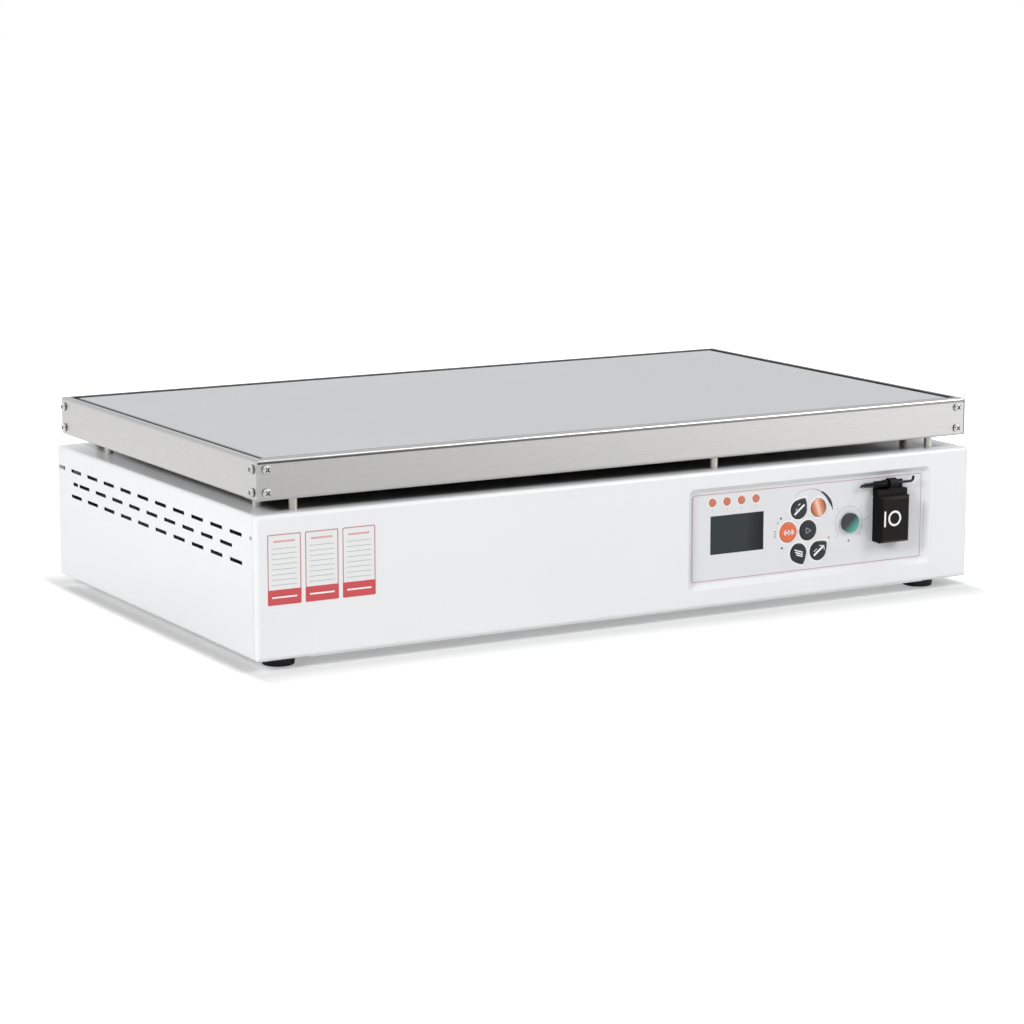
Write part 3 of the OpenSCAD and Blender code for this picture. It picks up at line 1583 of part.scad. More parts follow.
module inner_wiring() {
  low = base_z + sheet_t + 4;
  sw_x = panel_x + switch_x;
  sw_y = face_y + switch_depth + blade_l;
  sw_z = panel_z + switch_z;
  in_y = rear_y + inlet_rim - inlet_mouth_d - inlet_back_t - blade_l;
  in_z = housing_z + inlet_z;
  pin_z = tray_z - over - terminal_l / 2 - lead_d / 2;
  pin_y = terminal_y;
  pin_x = heater_pitch + terminal_pitch / 2;
  link = heater_pitch - terminal_pitch / 2;
  ssr_x = relay_x + relay_w / 4;
  ssr_y = relay_y + relay_d / 2 - relay_screw_d;
  ssr_low_y = relay_y - relay_d / 2 + relay_screw_d;
  ssr_z = base_z + sheet_t + sink_h + relay_h + relay_screw_h + lead_d / 2 + fit_gap;
  through_z = housing_top + 3;
  color("firebrick") {
    for (i = [-1, 1]) {
      tube([
        [inlet_x + i * inlet_mouth_w / 4, in_y, in_z],
        [inlet_x + i * inlet_mouth_w / 4, in_y - 8, in_z],
        [inlet_x + i * 7, in_y - 18, in_z - 8],
        [inlet_x + i * 6, in_y - 26, low + 14],
        [inlet_x + i * 6, in_y - 40, low],
        [sw_x + i * 6, 0, low],
        [sw_x + i * 6, sw_y + 44, low],
        [sw_x + i * 5.5, sw_y + 28, low + 10],
        [sw_x + i * 5.5, sw_y + 18, sw_z - 14],
        [sw_x + i * 5.5, sw_y + 8, sw_z],
        [sw_x + i * 5.5, sw_y, sw_z]
      ], lead_d, 8);
      tube([
        [i * link, pin_y, pin_z],
        [i * (link - 6), pin_y, pin_z],
        [i * (terminal_pitch / 2 + 6), pin_y, pin_z],
        [i * terminal_pitch / 2, pin_y, pin_z]
      ], lead_d, 8);
    }
    tube([
      [pin_x, pin_y, pin_z],
      [pin_x - 6, pin_y + 3, pin_z],
      [bushing_x + 8, bushing_y + 8, pin_z],
      [bushing_x + 1, bushing_y + 5.5, through_z],
      [bushing_x, bushing_y + 4.5, housing_top],
      [bushing_x, bushing_y + 4.5, housing_top - 9],
      [bushing_x - 12, bushing_y, housing_top - 20],
      [ssr_x + 60, ssr_y + 30, ssr_z + 10],
      [ssr_x + 14, ssr_y, ssr_z + 4],
      [ssr_x, ssr_y, ssr_z]
    ], lead_d, 8);
    tube([
      [-pin_x, pin_y, pin_z],
      [-pin_x + 8, pin_y - 10, pin_z],
      [bushing_x - 20, pin_y - 10, pin_z],
      [bushing_x - 8, bushing_y - 2, housing_top + 3.6],
      [bushing_x - 4.5, bushing_y, housing_top + 1.8],
      [bushing_x - 4.5, bushing_y, housing_top - 9],
      [bushing_x - 12, bushing_y - 12, housing_top - 24],
      [ssr_x + 50, ssr_y - 16, ssr_z + 8],
      [ssr_x + 10, ssr_low_y, ssr_z + 3],
      [ssr_x, ssr_low_y, ssr_z]
    ], lead_d, 8);
    tube([
      [sensor_x, sensor_y, tray_z - over],
      [sensor_x, sensor_y, tray_z - 5],
      [sensor_x + 6, sensor_y + 6, tray_z - 7.5],
      [bushing_x, bushing_y - 24, tray_z - 7.5],
      [bushing_x, bushing_y - 8, housing_top + 3.6],
      [bushing_x, bushing_y - 4.5, housing_top + 1.8],
      [bushing_x, bushing_y - 4.5, housing_top - 8],
      [bushing_x - 2, bushing_y - 14, housing_top - 14],
      [panel_x - 20, board_y + 40, panel_z + 30],
      [panel_x - 20, board_y + board_t + 8, panel_z + 24],
      [panel_x - 20, board_y + board_t, panel_z + 24]
    ], thin_lead_d, 8);
    tube([
      [panel_x - 60, board_y + board_t, panel_z - 10],
      [panel_x - 60, board_y + board_t + 8, panel_z - 10],
      [power_x + 20, power_y - power_d / 2 - 30, base_z + sheet_t + 20],
      [power_x + 10, power_y - power_d / 2 - 4, base_z + sheet_t + power_stand + board_t + 4],
      [power_x + 10, power_y - power_d / 2 + 6, base_z + sheet_t + power_stand + board_t + 1]
    ], thin_lead_d, 8);
  }
}

housing_cover();
front_panel();
rear_panel();
base_plate();
rubber_feet();
foot_screws();
base_screws();
record_stickers();
frame_front();
frame_rear();
frame_left();
frame_right();
corner_brackets();
frame_screws();
heating_plate();
heater_elements();
heater_terminals();
clamp_plate();
insulation_blanket();
drip_tray();
plate_studs();
stud_spacers();
large_nuts();
spacer_posts();
post_screws();
post_nuts();
plate_sensor();
lead_bushing();
panel_overlay();
display_glass();
display_module();
status_lamps();
control_board();
board_posts();
key_top_left();
key_top_right();
key_left();
key_centre();
key_bottom_left();
key_bottom_right();
limiter_dial();
limiter_shaft();
limiter_thermostat();
limiter_capillary();
switch_body();
switch_rocker();
cover_base();
switch_cover();
cover_pin();
cover_spring();
power_board();
solid_state_relay();
heat_sink();
mains_inlet();
small_screws();
fuse_holder();
fuse_cap();
fuse();
inner_wiring();
earth_stud();
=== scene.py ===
import json
import math

import bmesh
import bpy
from mathutils import Matrix, Vector

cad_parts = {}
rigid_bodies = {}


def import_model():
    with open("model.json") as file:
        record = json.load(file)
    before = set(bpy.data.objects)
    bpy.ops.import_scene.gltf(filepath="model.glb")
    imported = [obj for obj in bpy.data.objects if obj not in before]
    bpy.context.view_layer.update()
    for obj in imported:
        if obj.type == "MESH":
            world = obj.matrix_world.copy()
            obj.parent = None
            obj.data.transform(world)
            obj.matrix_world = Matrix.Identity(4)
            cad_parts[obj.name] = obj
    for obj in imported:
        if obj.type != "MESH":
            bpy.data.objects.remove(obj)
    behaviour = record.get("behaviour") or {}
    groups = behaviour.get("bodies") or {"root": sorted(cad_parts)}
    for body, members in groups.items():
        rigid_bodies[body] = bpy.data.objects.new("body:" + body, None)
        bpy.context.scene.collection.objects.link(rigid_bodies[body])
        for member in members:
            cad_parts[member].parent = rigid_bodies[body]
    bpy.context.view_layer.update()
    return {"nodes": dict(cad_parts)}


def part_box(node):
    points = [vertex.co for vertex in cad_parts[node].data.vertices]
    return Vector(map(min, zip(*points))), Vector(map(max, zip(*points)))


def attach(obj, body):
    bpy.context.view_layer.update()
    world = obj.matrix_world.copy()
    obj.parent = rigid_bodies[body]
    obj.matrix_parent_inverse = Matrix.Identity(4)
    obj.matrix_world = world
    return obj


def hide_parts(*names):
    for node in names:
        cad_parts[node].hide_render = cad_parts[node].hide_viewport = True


for leftover in list(bpy.data.objects):
    bpy.data.objects.remove(leftover)
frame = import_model()
MM = 0.001

# The camera stands at the front left of the bench, a little above the plate's edge, with a long
# lens, so that front, left side and heating plate all show.
camera_place = Vector((-1.1812, -2.0563, 0.48645))
camera_azimuth = math.radians(-29.86)
camera_elevation = math.radians(10.25)
lens_mm = 109.485

camera_back = Vector((
    math.sin(camera_azimuth) * math.cos(camera_elevation),
    -math.cos(camera_azimuth) * math.cos(camera_elevation),
    math.sin(camera_elevation),
))
camera_right = Vector((math.cos(camera_azimuth), math.sin(camera_azimuth), 0))
camera_up = camera_back.cross(camera_right)
camera_data = bpy.data.cameras.new("bench_camera")
camera_data.lens = lens_mm
camera_data.sensor_width = 36
camera_data.clip_end = 100
camera = bpy.data.objects.new("bench_camera", camera_data)
turn = Matrix((camera_right, camera_up, camera_back)).transposed()
camera.matrix_world = Matrix.Translation(camera_place) @ turn.to_4x4()
bpy.context.scene.collection.objects.link(camera)
bpy.context.scene.camera = camera

# The studio is a pale bench under a bright tent, with soft lamps at the front left and front right
# and a low one behind. To the camera, tent and bench are plain white but for the shadow, which the
# bench's glow partly paints. Metal sees a painted reflection: the tent darker in a band low at the
# front, and the bench paler to the right and behind.
tent_light = 0.34
tent_in_metal = 0.95
reflected_dark_band_level = 0.2
reflected_dark_band_x, reflected_dark_band_y, reflected_dark_band_z = (0.42, 0.78), (-0.6, -0.1), (0.22, 0.6)
bench_white = (0.84, 0.84, 0.84, 1)
bench_reach = 14
bench_drop = 0.0002
bench_glow = 0.045
bench_glow_under = 0.31
bench_glow_reach = 0.1
bench_glow_squeeze = 4.6
under_edge_band = (-0.025, 0.008)
bench_in_metal_right, right_reach = 0.60, 0.87
bench_in_metal_behind, behind_reach = 0.43, 0.3
footprint_half_x = 0.303
footprint_half_y = 0.178


def sums(made, operation, one, two=0.0):
    node = made.node_tree.nodes.new("ShaderNodeMath")
    node.operation = operation
    for socket, value in zip(node.inputs, (one, two)):
        if isinstance(value, float):
            socket.default_value = value
        else:
            made.node_tree.links.new(value, socket)
    return node.outputs[0]


def fade(made, value, start, end, low, high):
    node = made.node_tree.nodes.new("ShaderNodeMapRange")
    node.interpolation_type = "SMOOTHSTEP"
    for name, number in (("From Min", start), ("From Max", end), ("To Min", low),
                         ("To Max", high)):
        node.inputs[name].default_value = number
    made.node_tree.links.new(value, node.inputs["Value"])
    return node.outputs["Result"]


def parts_of(made, output):
    nodes, links = made.node_tree.nodes, made.node_tree.links
    parts = nodes.new("ShaderNodeSeparateXYZ")
    links.new(nodes.new("ShaderNodeTexCoord").outputs[output], parts.inputs[0])
    return parts.outputs


bpy.context.scene.view_settings.view_transform = "Standard"
tent = bpy.data.worlds.new("light_tent")
bpy.context.scene.world = tent
tent.use_nodes = True
tent_nodes, tent_links = tent.node_tree.nodes, tent.node_tree.links
tent_nodes.clear()


def tent_glow(colour):
    glow = tent_nodes.new("ShaderNodeBackground")
    glow.inputs["Color"].default_value = colour
    return glow


def tent_choice(fac, no, yes):
    choice = tent_nodes.new("ShaderNodeMixShader")
    for socket, value in zip(choice.inputs, (fac, no, yes)):
        tent_links.new(value, socket)
    return choice.outputs[0]


seen_white = tent_glow((1, 1, 1, 1))
lighting = tent_glow((0.98, 0.99, 1, 1))
lighting.inputs["Strength"].default_value = tent_light
in_metal = tent_glow((0.97, 0.98, 1, 1))
# Painted reflection: only glossy rays see the tent darken in a band low at the front.
toward = parts_of(tent, "Generated")
reflected_dark_band_across = sums(tent, "MULTIPLY", fade(tent, toward["Y"], *reflected_dark_band_y, 1, 0),
                     fade(tent, toward["X"], *reflected_dark_band_x, 1, 0))
reflected_dark_band = sums(tent, "MULTIPLY", reflected_dark_band_across, fade(tent, toward["Z"], *reflected_dark_band_z, 1, 0))
tent_links.new(fade(tent, reflected_dark_band, 0, 1, tent_in_metal, reflected_dark_band_level), in_metal.inputs["Strength"])
ray = tent_nodes.new("ShaderNodeLightPath").outputs
glossy_or_clear = sums(tent, "MAXIMUM", ray["Is Glossy Ray"], ray["Is Transmission Ray"])
light_or_metal = tent_choice(glossy_or_clear, lighting.outputs[0], in_metal.outputs[0])
tent_links.new(tent_choice(ray["Is Camera Ray"], light_or_metal, seen_white.outputs[0]),
               tent_nodes.new("ShaderNodeOutputWorld").inputs[0])


def soft_lamp(name, place, aim, size, watts, in_gloss=True):
    data = bpy.data.lights.new(name, "AREA")
    data.shape = "SQUARE"
    data.size = size
    data.energy = watts
    lamp = bpy.data.objects.new(name, data)
    direction = Vector(aim) - Vector(place)
    lamp.rotation_euler = direction.to_track_quat("-Z", "Y").to_euler()
    lamp.location = place
    lamp.visible_glossy = in_gloss
    bpy.context.scene.collection.objects.link(lamp)


soft_lamp("front_left_lamp", (-2.95, -1.6, 1.62), (0, 0, 0.07), 1.0, 82, False)
soft_lamp("front_right_lamp", (1.6, -1.7, 1.4), (0.3, -0.2, 0.05), 1.2, 25.5)
soft_lamp("rear_lamp", (0.7, 2.7, 1.1), (0, 0.1, 0.05), 1.8, 36, False)

bench_mesh = bpy.data.meshes.new("bench")
bench_mesh.from_pydata(
    [(x * bench_reach, y * bench_reach, -bench_drop)
     for x, y in ((-1, -1), (1, -1), (1, 1), (-1, 1))], [], [(0, 1, 2, 3)])
bench = bpy.data.objects.new("bench", bench_mesh)
bpy.context.scene.collection.objects.link(bench)
bench_top = bpy.data.materials.new("bench_top")
bench_top.use_nodes = True
bench_nodes, bench_links = bench_top.node_tree.nodes, bench_top.node_tree.links
bench_nodes.clear()
bench_matt = bench_nodes.new("ShaderNodeBsdfDiffuse")
bench_matt.inputs["Color"].default_value = bench_white
bench_seen = bench_nodes.new("ShaderNodeEmission")
bench_seen.inputs["Color"].default_value = (1, 1, 1, 1)


def bench_sums(operation, one, two=0.0):
    return sums(bench_top, operation, one, two)


# Painted shadow and light on the floor: the camera's glow is faint near the object, grows to white
# 0.1 m out (sooner at the sides), and lifts just under the object's edges as painted light.
bench_spot = parts_of(bench_top, "Object")
past_x = bench_sums("SUBTRACT", bench_sums("ABSOLUTE", bench_spot["X"]), footprint_half_x)
past_y = bench_sums("SUBTRACT", bench_sums("ABSOLUTE", bench_spot["Y"]), footprint_half_y)
wide_x = bench_sums("MULTIPLY", bench_sums("MAXIMUM", past_x), bench_glow_squeeze)
beyond = bench_sums("SQRT", bench_sums("ADD", bench_sums("POWER", wide_x, 2.0),
                                       bench_sums("POWER", bench_sums("MAXIMUM", past_y), 2.0)))
under_edge = fade(bench_top, bench_sums("MAXIMUM", past_x, past_y), *under_edge_band,
                  bench_glow_under, 0)
seen_glow = bench_sums("ADD", fade(bench_top, beyond, 0, bench_glow_reach, bench_glow, 1),
                       under_edge)
# Painted reflection: metal sees the bench glow paler towards the right and behind.
metal_glow = bench_sums(
    "MAXIMUM", fade(bench_top, bench_spot["X"], 0, right_reach, 0, bench_in_metal_right),
    fade(bench_top, bench_spot["Y"], 0, behind_reach, 0, bench_in_metal_behind))
bench_ray = bench_nodes.new("ShaderNodeLightPath").outputs
bench_links.new(
    bench_sums("MAXIMUM", bench_sums("MULTIPLY", bench_ray["Is Camera Ray"], seen_glow),
               bench_sums("MULTIPLY", bench_ray["Is Glossy Ray"], metal_glow)),
    bench_seen.inputs["Strength"])
bench_sum = bench_nodes.new("ShaderNodeAddShader")
bench_links.new(bench_matt.outputs[0], bench_sum.inputs[0])
bench_links.new(bench_seen.outputs[0], bench_sum.inputs[1])
bench_links.new(bench_sum.outputs[0], bench_nodes.new("ShaderNodeOutputMaterial").inputs[0])
bench_mesh.materials.append(bench_top)

# Housing: folded steel sheet for top and sides, with a front panel that wraps round its corners
# and a flat rear panel. All three are powder-coated white, with the fine orange peel of the coat.
# The cover's top is darkened with painted shade under the head, and so are the walls of its
# punched slots.
enamel_white = (0.83, 0.832, 0.838, 1)
enamel_rough = 0.36
peel_per_m = 520
peel_depth = 0.00004
# Painted shade: dark grey on the cover's top under the head, near black on the slot walls.
under_head_painted_shade = (0.17, 0.17, 0.17, 1)
under_head_shade_half_x, under_head_shade_half_y = 0.29, 0.175
under_head_shade_soft_edge = (0.004, 0.016)
under_head_shade_height = (0.104, 0.106)
slot_wall_painted_shade = (0.02, 0.02, 0.02, 1)
slots_past_x, slots_within_y, slots_below = 0.295, 0.168, 0.102
cut_face_x = 0.6


def finish(name, colour, rough, metallic=0.0, **sockets):
    made = bpy.data.materials.new(name)
    made.use_nodes = True
    shader = made.node_tree.nodes["Principled BSDF"]
    shader.inputs["Base Color"].default_value = colour
    shader.inputs["Roughness"].default_value = rough
    shader.inputs["Metallic"].default_value = metallic
    for socket, value in sockets.items():
        shader.inputs[socket.replace("_", " ")].default_value = value
    return made


def place_in(made, stretch):
    nodes, links = made.node_tree.nodes, made.node_tree.links
    coords = nodes.new("ShaderNodeTexCoord")
    scaled = nodes.new("ShaderNodeMapping")
    scaled.inputs["Scale"].default_value = stretch
    links.new(coords.outputs["Object"], scaled.inputs["Vector"])
    return scaled.outputs["Vector"]


def grain(made, per_m, stretch=(1, 1, 1), detail=4):
    nodes, links = made.node_tree.nodes, made.node_tree.links
    noise = nodes.new("ShaderNodeTexNoise")
    noise.inputs["Scale"].default_value = per_m
    noise.inputs["Detail"].default_value = detail
    links.new(place_in(made, stretch), noise.inputs["Vector"])
    return noise.outputs["Fac"]


def spread(made, fac, low, high, start=0.3, end=0.7):
    nodes, links = made.node_tree.nodes, made.node_tree.links
    ranged = nodes.new("ShaderNodeMapRange")
    ranged.inputs["From Min"].default_value = start
    ranged.inputs["From Max"].default_value = end
    ranged.inputs["To Min"].default_value = low
    ranged.inputs["To Max"].default_value = high
    links.new(fac, ranged.inputs["Value"])
    return ranged.outputs["Result"]


def mix_base(made, fac, one, two):
    """Mixes two colours, each a plain one or a socket, into the base colour."""
    nodes, links = made.node_tree.nodes, made.node_tree.links
    mixed = nodes.new("ShaderNodeMix")
    mixed.data_type = "RGBA"
    for socket, value in ((mixed.inputs[6], one), (mixed.inputs[7], two)):
        if isinstance(value, tuple):
            socket.default_value = value
        else:
            links.new(value, socket)
    links.new(fac, mixed.inputs[0])
    links.new(mixed.outputs[2], nodes["Principled BSDF"].inputs["Base Color"])


def vary(made, fac, amount, tint=(1, 1, 1)):
    plain = tuple(made.node_tree.nodes["Principled BSDF"].inputs["Base Color"].default_value)[:3]
    mix_base(made, fac, tuple(c * (1 - amount) * t for c, t in zip(plain, tint)) + (1,),
             tuple(min(1, c * (1 + amount)) for c in plain) + (1,))


def darken(made, fac, colour):
    base = made.node_tree.nodes["Principled BSDF"].inputs["Base Color"]
    mix_base(made, fac, base.links[0].from_socket, colour)


def roughen(made, fac, low, high):
    shader = made.node_tree.nodes["Principled BSDF"]
    made.node_tree.links.new(spread(made, fac, low, high), shader.inputs["Roughness"])


def emboss(made, fac, depth, strength=1.0):
    nodes, links = made.node_tree.nodes, made.node_tree.links
    bump = nodes.new("ShaderNodeBump")
    bump.inputs["Distance"].default_value = depth
    bump.inputs["Strength"].default_value = strength
    links.new(fac, bump.inputs["Height"])
    links.new(bump.outputs["Normal"], nodes["Principled BSDF"].inputs["Normal"])


def dress(made, *names):
    for name in names:
        node = frame["nodes"][name]
        if not node.material_slots:
            node.data.materials.append(made)
        for slot in node.material_slots:
            slot.material = made


def soften_piece(piece, width):
    weld = piece.modifiers.new("weld", "WELD")
    weld.merge_threshold = 0.000005
    bevel = piece.modifiers.new("edge", "BEVEL")
    bevel.width = width * MM
    bevel.segments = 3
    bevel.limit_method = "ANGLE"
    bevel.angle_limit = math.radians(40)
    bevel.harden_normals = False


def soften(width, *names):
    for name in names:
        soften_piece(frame["nodes"][name], width)


def powder_coat(name):
    made = finish(name, enamel_white, enamel_rough, Coat_Weight=0.3, Coat_Roughness=0.12)
    vary(made, grain(made, 9, detail=2), 0.012, (0.995, 0.998, 1))
    peel = grain(made, peel_per_m, detail=3)
    roughen(made, peel, enamel_rough - 0.04, enamel_rough + 0.05)
    emboss(made, peel, peel_depth, 0.35)
    return made


enamel = powder_coat("powder_coat")
dress(enamel, "front_panel", "rear_panel")
cover_coat = powder_coat("powder_coat_cover")
spot, facing = parts_of(cover_coat, "Object"), parts_of(cover_coat, "Normal")


def cover_sums(operation, one, two=0.0):
    return sums(cover_coat, operation, one, two)


# Painted shade under the head: the top goes dark grey inside the head's footprint.
from_x, from_y = cover_sums("ABSOLUTE", spot["X"]), cover_sums("ABSOLUTE", spot["Y"])
inward = cover_sums("MINIMUM", cover_sums("SUBTRACT", under_head_shade_half_x, from_x),
                    cover_sums("SUBTRACT", under_head_shade_half_y, from_y))
under_head_shade_mask = cover_sums("MULTIPLY", spread(cover_coat, inward, 0, 1, *under_head_shade_soft_edge),
                    spread(cover_coat, spot["Z"], 0, 1, *under_head_shade_height))
darken(cover_coat, under_head_shade_mask, under_head_painted_shade)
# Painted shade: the side walls of the punched slots go near black.
in_slot_rows = cover_sums("MULTIPLY", cover_sums("GREATER_THAN", from_x, slots_past_x),
                          cover_sums("LESS_THAN", from_y, slots_within_y))
cut_face = cover_sums("MULTIPLY", cover_sums("LESS_THAN", spot["Z"], slots_below),
                      cover_sums("LESS_THAN", cover_sums("ABSOLUTE", facing["X"]), cut_face_x))
darken(cover_coat, cover_sums("MULTIPLY", in_slot_rows, cut_face), slot_wall_painted_shade)
dress(cover_coat, "housing_cover")

# Base plate, brackets and clamp plate: plain zinc-plated sheet, punched and left as it comes.
# Its fine spangle shows only from below and through the air slots. The drip tray is dark
# heat-tinted steel with a faint warm haze.
zinc_grey = (0.56, 0.57, 0.58, 1)
zinc = finish("zinc_sheet", zinc_grey, 0.42, 0.9)
spangle = grain(zinc, 140, detail=2)
vary(zinc, spangle, 0.1)
roughen(zinc, spangle, 0.34, 0.52)
dress(zinc, "base_plate", "corner_brackets", "clamp_plate")
tray_dark = finish("heat_tinted_tray", (0.045, 0.045, 0.047, 1), 0.55, 0.5)
tray_haze = grain(tray_dark, 30, detail=5)
vary(tray_dark, tray_haze, 0.25, (1, 0.95, 0.88))
roughen(tray_dark, tray_haze, 0.45, 0.65)
dress(tray_dark, "drip_tray")

# Feet: four moulded rubber feet with a well for their screw, matt black with a little bloom.
rubber = finish("moulded_rubber", (0.018, 0.018, 0.019, 1), 0.72)
bloom = grain(rubber, 260, detail=5)
vary(rubber, bloom, 0.3)
roughen(rubber, bloom, 0.62, 0.82)
emboss(rubber, bloom, 0.00006, 0.5)
soften(0.5, "rubber_feet")
dress(rubber, "rubber_feet", "lead_bushing")

# Screws and nuts: bright zinc-plated steel, pan heads with a crossed slot, faint turning marks. The
# frame's screws have painted shade in their slots and round their heads, where ambient occlusion
# darkens them.
plated = finish("bright_zinc", (0.74, 0.745, 0.75, 1), 0.3, 1.0)
turning = grain(plated, 900, detail=3)
vary(plated, turning, 0.14, (1, 1, 0.97))
roughen(plated, turning, 0.24, 0.4)
dress(plated, "foot_screws", "base_screws", "post_screws", "post_nuts", "large_nuts",
      "small_screws", "plate_studs")
slotted = finish("oiled_screw", (0.74, 0.745, 0.75, 1), 0.3, 1.0)
screw_painted_shade, screw_unshaded_colour = (0.03, 0.029, 0.027, 1), (0.76, 0.765, 0.77, 1)
# Painted shade: ambient occlusion darkens the slots and the rim round each head.
screw_occlusion = slotted.node_tree.nodes.new("ShaderNodeAmbientOcclusion")
screw_occlusion.inputs["Distance"].default_value = 0.0012
mix_base(slotted, spread(slotted, screw_occlusion.outputs["AO"], 0, 1, 0.55, 0.95), screw_painted_shade, screw_unshaded_colour)
roughen(slotted, grain(slotted, 900, detail=3), 0.24, 0.4)
dress(slotted, "frame_screws")

# Frame round the plate: four strips of stainless steel, folded to a lip above and a flange below,
# and brushed along their length. Faces that look up carry painted shade. The side strips overlap
# the ends of the front and rear ones, and the right strip's cut front end is darkened as painted
# shade. The front and rear hems have a groove under them, lined with a dark strip of painted
# shadow.
steel_colour = (0.575, 0.57, 0.561, 1)
brush_per_m = 2600
brush_length_share = 0.012
right_strip_x = 0.29
# Painted shadow: a dark strip laid in the groove under each hem.
shadow_strip_half_length = 298.6
shadow_strip_half_height = 0.68
shadow_strip_thick = 0.35
shadow_strip_behind_face = 0.72
shadow_strip_below_lip = 2.6


def brushed(name, along):
    made = finish(name, steel_colour, 0.3, 1.0, Anisotropic=0.4)
    stretch = tuple(brush_length_share if axis == along else 1 for axis in "XYZ")
    hairs = grain(made, brush_per_m, stretch, detail=5)
    vary(made, hairs, 0.10, (1, 0.995, 0.985))
    roughen(made, hairs, 0.24, 0.38)
    emboss(made, hairs, 0.00003, 0.4)
    # Painted shade: faces that look up, such as the lip tops, are a fifth darker.
    darken(made, spread(made, parts_of(made, "Normal")["Z"], 0, 0.2, 0.5, 0.9), (0, 0, 0, 1))
    return made


dress(brushed("steel_brushed_across", "X"), "frame_front", "frame_rear")
along = brushed("steel_brushed_along", "Y")
# Painted shade: the right strip's cut end that faces the front goes much darker.
on_right = sums(along, "GREATER_THAN", parts_of(along, "Object")["X"], right_strip_x)
cut_end_painted_shade = spread(along, parts_of(along, "Normal")["Y"], 0.6, 0, -0.9, -0.5)
darken(along, sums(along, "MULTIPLY", on_right, cut_end_painted_shade), (0, 0, 0, 1))
dress(along, "frame_left", "frame_right")


def on_face(y, u0=0.0, v0=0.0):
    return lambda u, v, out: (
        (u0 + u) * MM, (y - out) * MM, (v0 + v) * MM)


def bridge(form, one, two):
    for i in range(len(one)):
        j = (i + 1) % len(one)
        form.faces.new((one[i], one[j], two[j], two[i]))


def make_piece(name, form, made, body):
    bmesh.ops.recalc_face_normals(form, faces=form.faces)
    mesh = bpy.data.meshes.new(name)
    form.to_mesh(mesh)
    form.free()
    mesh.materials.append(made)
    piece = bpy.data.objects.new(name, mesh)
    bpy.context.scene.collection.objects.link(piece)
    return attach(piece, body)


def print_piece(name, made, body, place, tiles=(), rings=(), thick=0.03):
    form = bmesh.new()
    for loop in tiles:
        low = [form.verts.new(place(u, v, 0)) for u, v in loop]
        high = [form.verts.new(place(u, v, thick)) for u, v in loop]
        form.faces.new(low)
        form.faces.new(high[::-1])
        bridge(form, high, low)
    for outer, inner in rings:
        levels = [[form.verts.new(place(u, v, out)) for u, v in loop]
                  for loop, out in ((outer, 0), (outer, thick), (inner, thick), (inner, 0))]
        for one, two in zip(levels, levels[1:] + levels[:1]):
            bridge(form, one, two)
    bmesh.ops.remove_doubles(form, verts=form.verts, dist=1e-7)
    return make_piece(name, form, made, body)


def ink(name, colour, rough=0.45):
    made = finish(name, colour, rough)
    speck = grain(made, 2500, detail=2)
    vary(made, speck, 0.05)
    roughen(made, speck, rough - 0.05, rough + 0.06)
    return made


# Painted shadow in the hem's groove: a dark strip, darker still towards the left.
hem_shadow_paint = ink("hem_seal", (0.36, 0.355, 0.345, 1), 0.6)
darken(hem_shadow_paint, spread(hem_shadow_paint, parts_of(hem_shadow_paint, "Object")["X"], 1, 0, -0.25, 0.3),
      (0.09, 0.087, 0.082, 1))
frame_low, frame_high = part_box("frame_front")
shadow_strip_floor = frame_low.y / MM + shadow_strip_behind_face
for name, side in (("hem_seal_front", 1), ("hem_seal_rear", -1)):
    print_piece(name, hem_shadow_paint, "base",
                on_face(side * shadow_strip_floor, 0, frame_high.z / MM - shadow_strip_below_lip),
                tiles=[[(u * shadow_strip_half_length, v * shadow_strip_half_height)
                        for u, v in ((-1, -1), (1, -1), (1, 1), (-1, 1))]],
                thick=side * shadow_strip_thick)

# Heating plate: one thick slab, fine-blasted and sealed on top, pale grey with a slight cloud. Its
# sawn edges are darkened with painted shade, as is every face that doesn't look up.
plate_colour = (0.59, 0.605, 0.613, 1)
plate_side_painted_shade = (0.07, 0.07, 0.075, 1)

slab = finish("blasted_plate", plate_colour, 0.5, 0.55)
slab_cloud = grain(slab, 7, (1, 1.6, 1), detail=4)
vary(slab, slab_cloud, 0.03)
# Painted shade: every face that doesn't look up goes dark.
darken(slab, spread(slab, parts_of(slab, "Normal")["Z"], 1, 0, 0.5, 0.9), plate_side_painted_shade)
blast = grain(slab, 1500, detail=2)
roughen(slab, blast, 0.40, 0.54)
emboss(slab, blast, 0.00003, 0.35)
dress(slab, "heating_plate")

# Heaters, their terminals, the fibre blanket and the ceramic spacers under the plate: pressed
# mica, unglazed ceramic and white felt, hidden between plate and tray.
mica = finish("pressed_mica", (0.42, 0.33, 0.21, 1), 0.6)
vary(mica, grain(mica, 300, (1, 3, 1), detail=6), 0.3)
dress(mica, "heater_elements")
felt = finish("fibre_felt", (0.80, 0.79, 0.75, 1), 0.95)
felt_hair = grain(felt, 700, detail=6)
vary(felt, felt_hair, 0.12)
emboss(felt, felt_hair, 0.0004, 0.8)
dress(felt, "insulation_blanket")
ceramic = finish("unglazed_ceramic", (0.78, 0.74, 0.65, 1), 0.7)
ceramic_speck = grain(ceramic, 500, detail=3)
vary(ceramic, ceramic_speck, 0.07)
dress(ceramic, "heater_terminals", "stud_spacers", "limiter_thermostat")

# Spacer posts, sensor and shafts: nickel-plated turned steel, warm grey, with fine turned rings.
nickel = finish("turned_nickel", (0.66, 0.65, 0.585, 1), 0.34, 0.85)
rings = grain(nickel, 1400, (0.05, 0.05, 1), detail=2)
vary(nickel, rings, 0.10)
roughen(nickel, rings, 0.28, 0.45)
dress(nickel, "spacer_posts", "plate_sensor", "limiter_shaft", "board_posts")

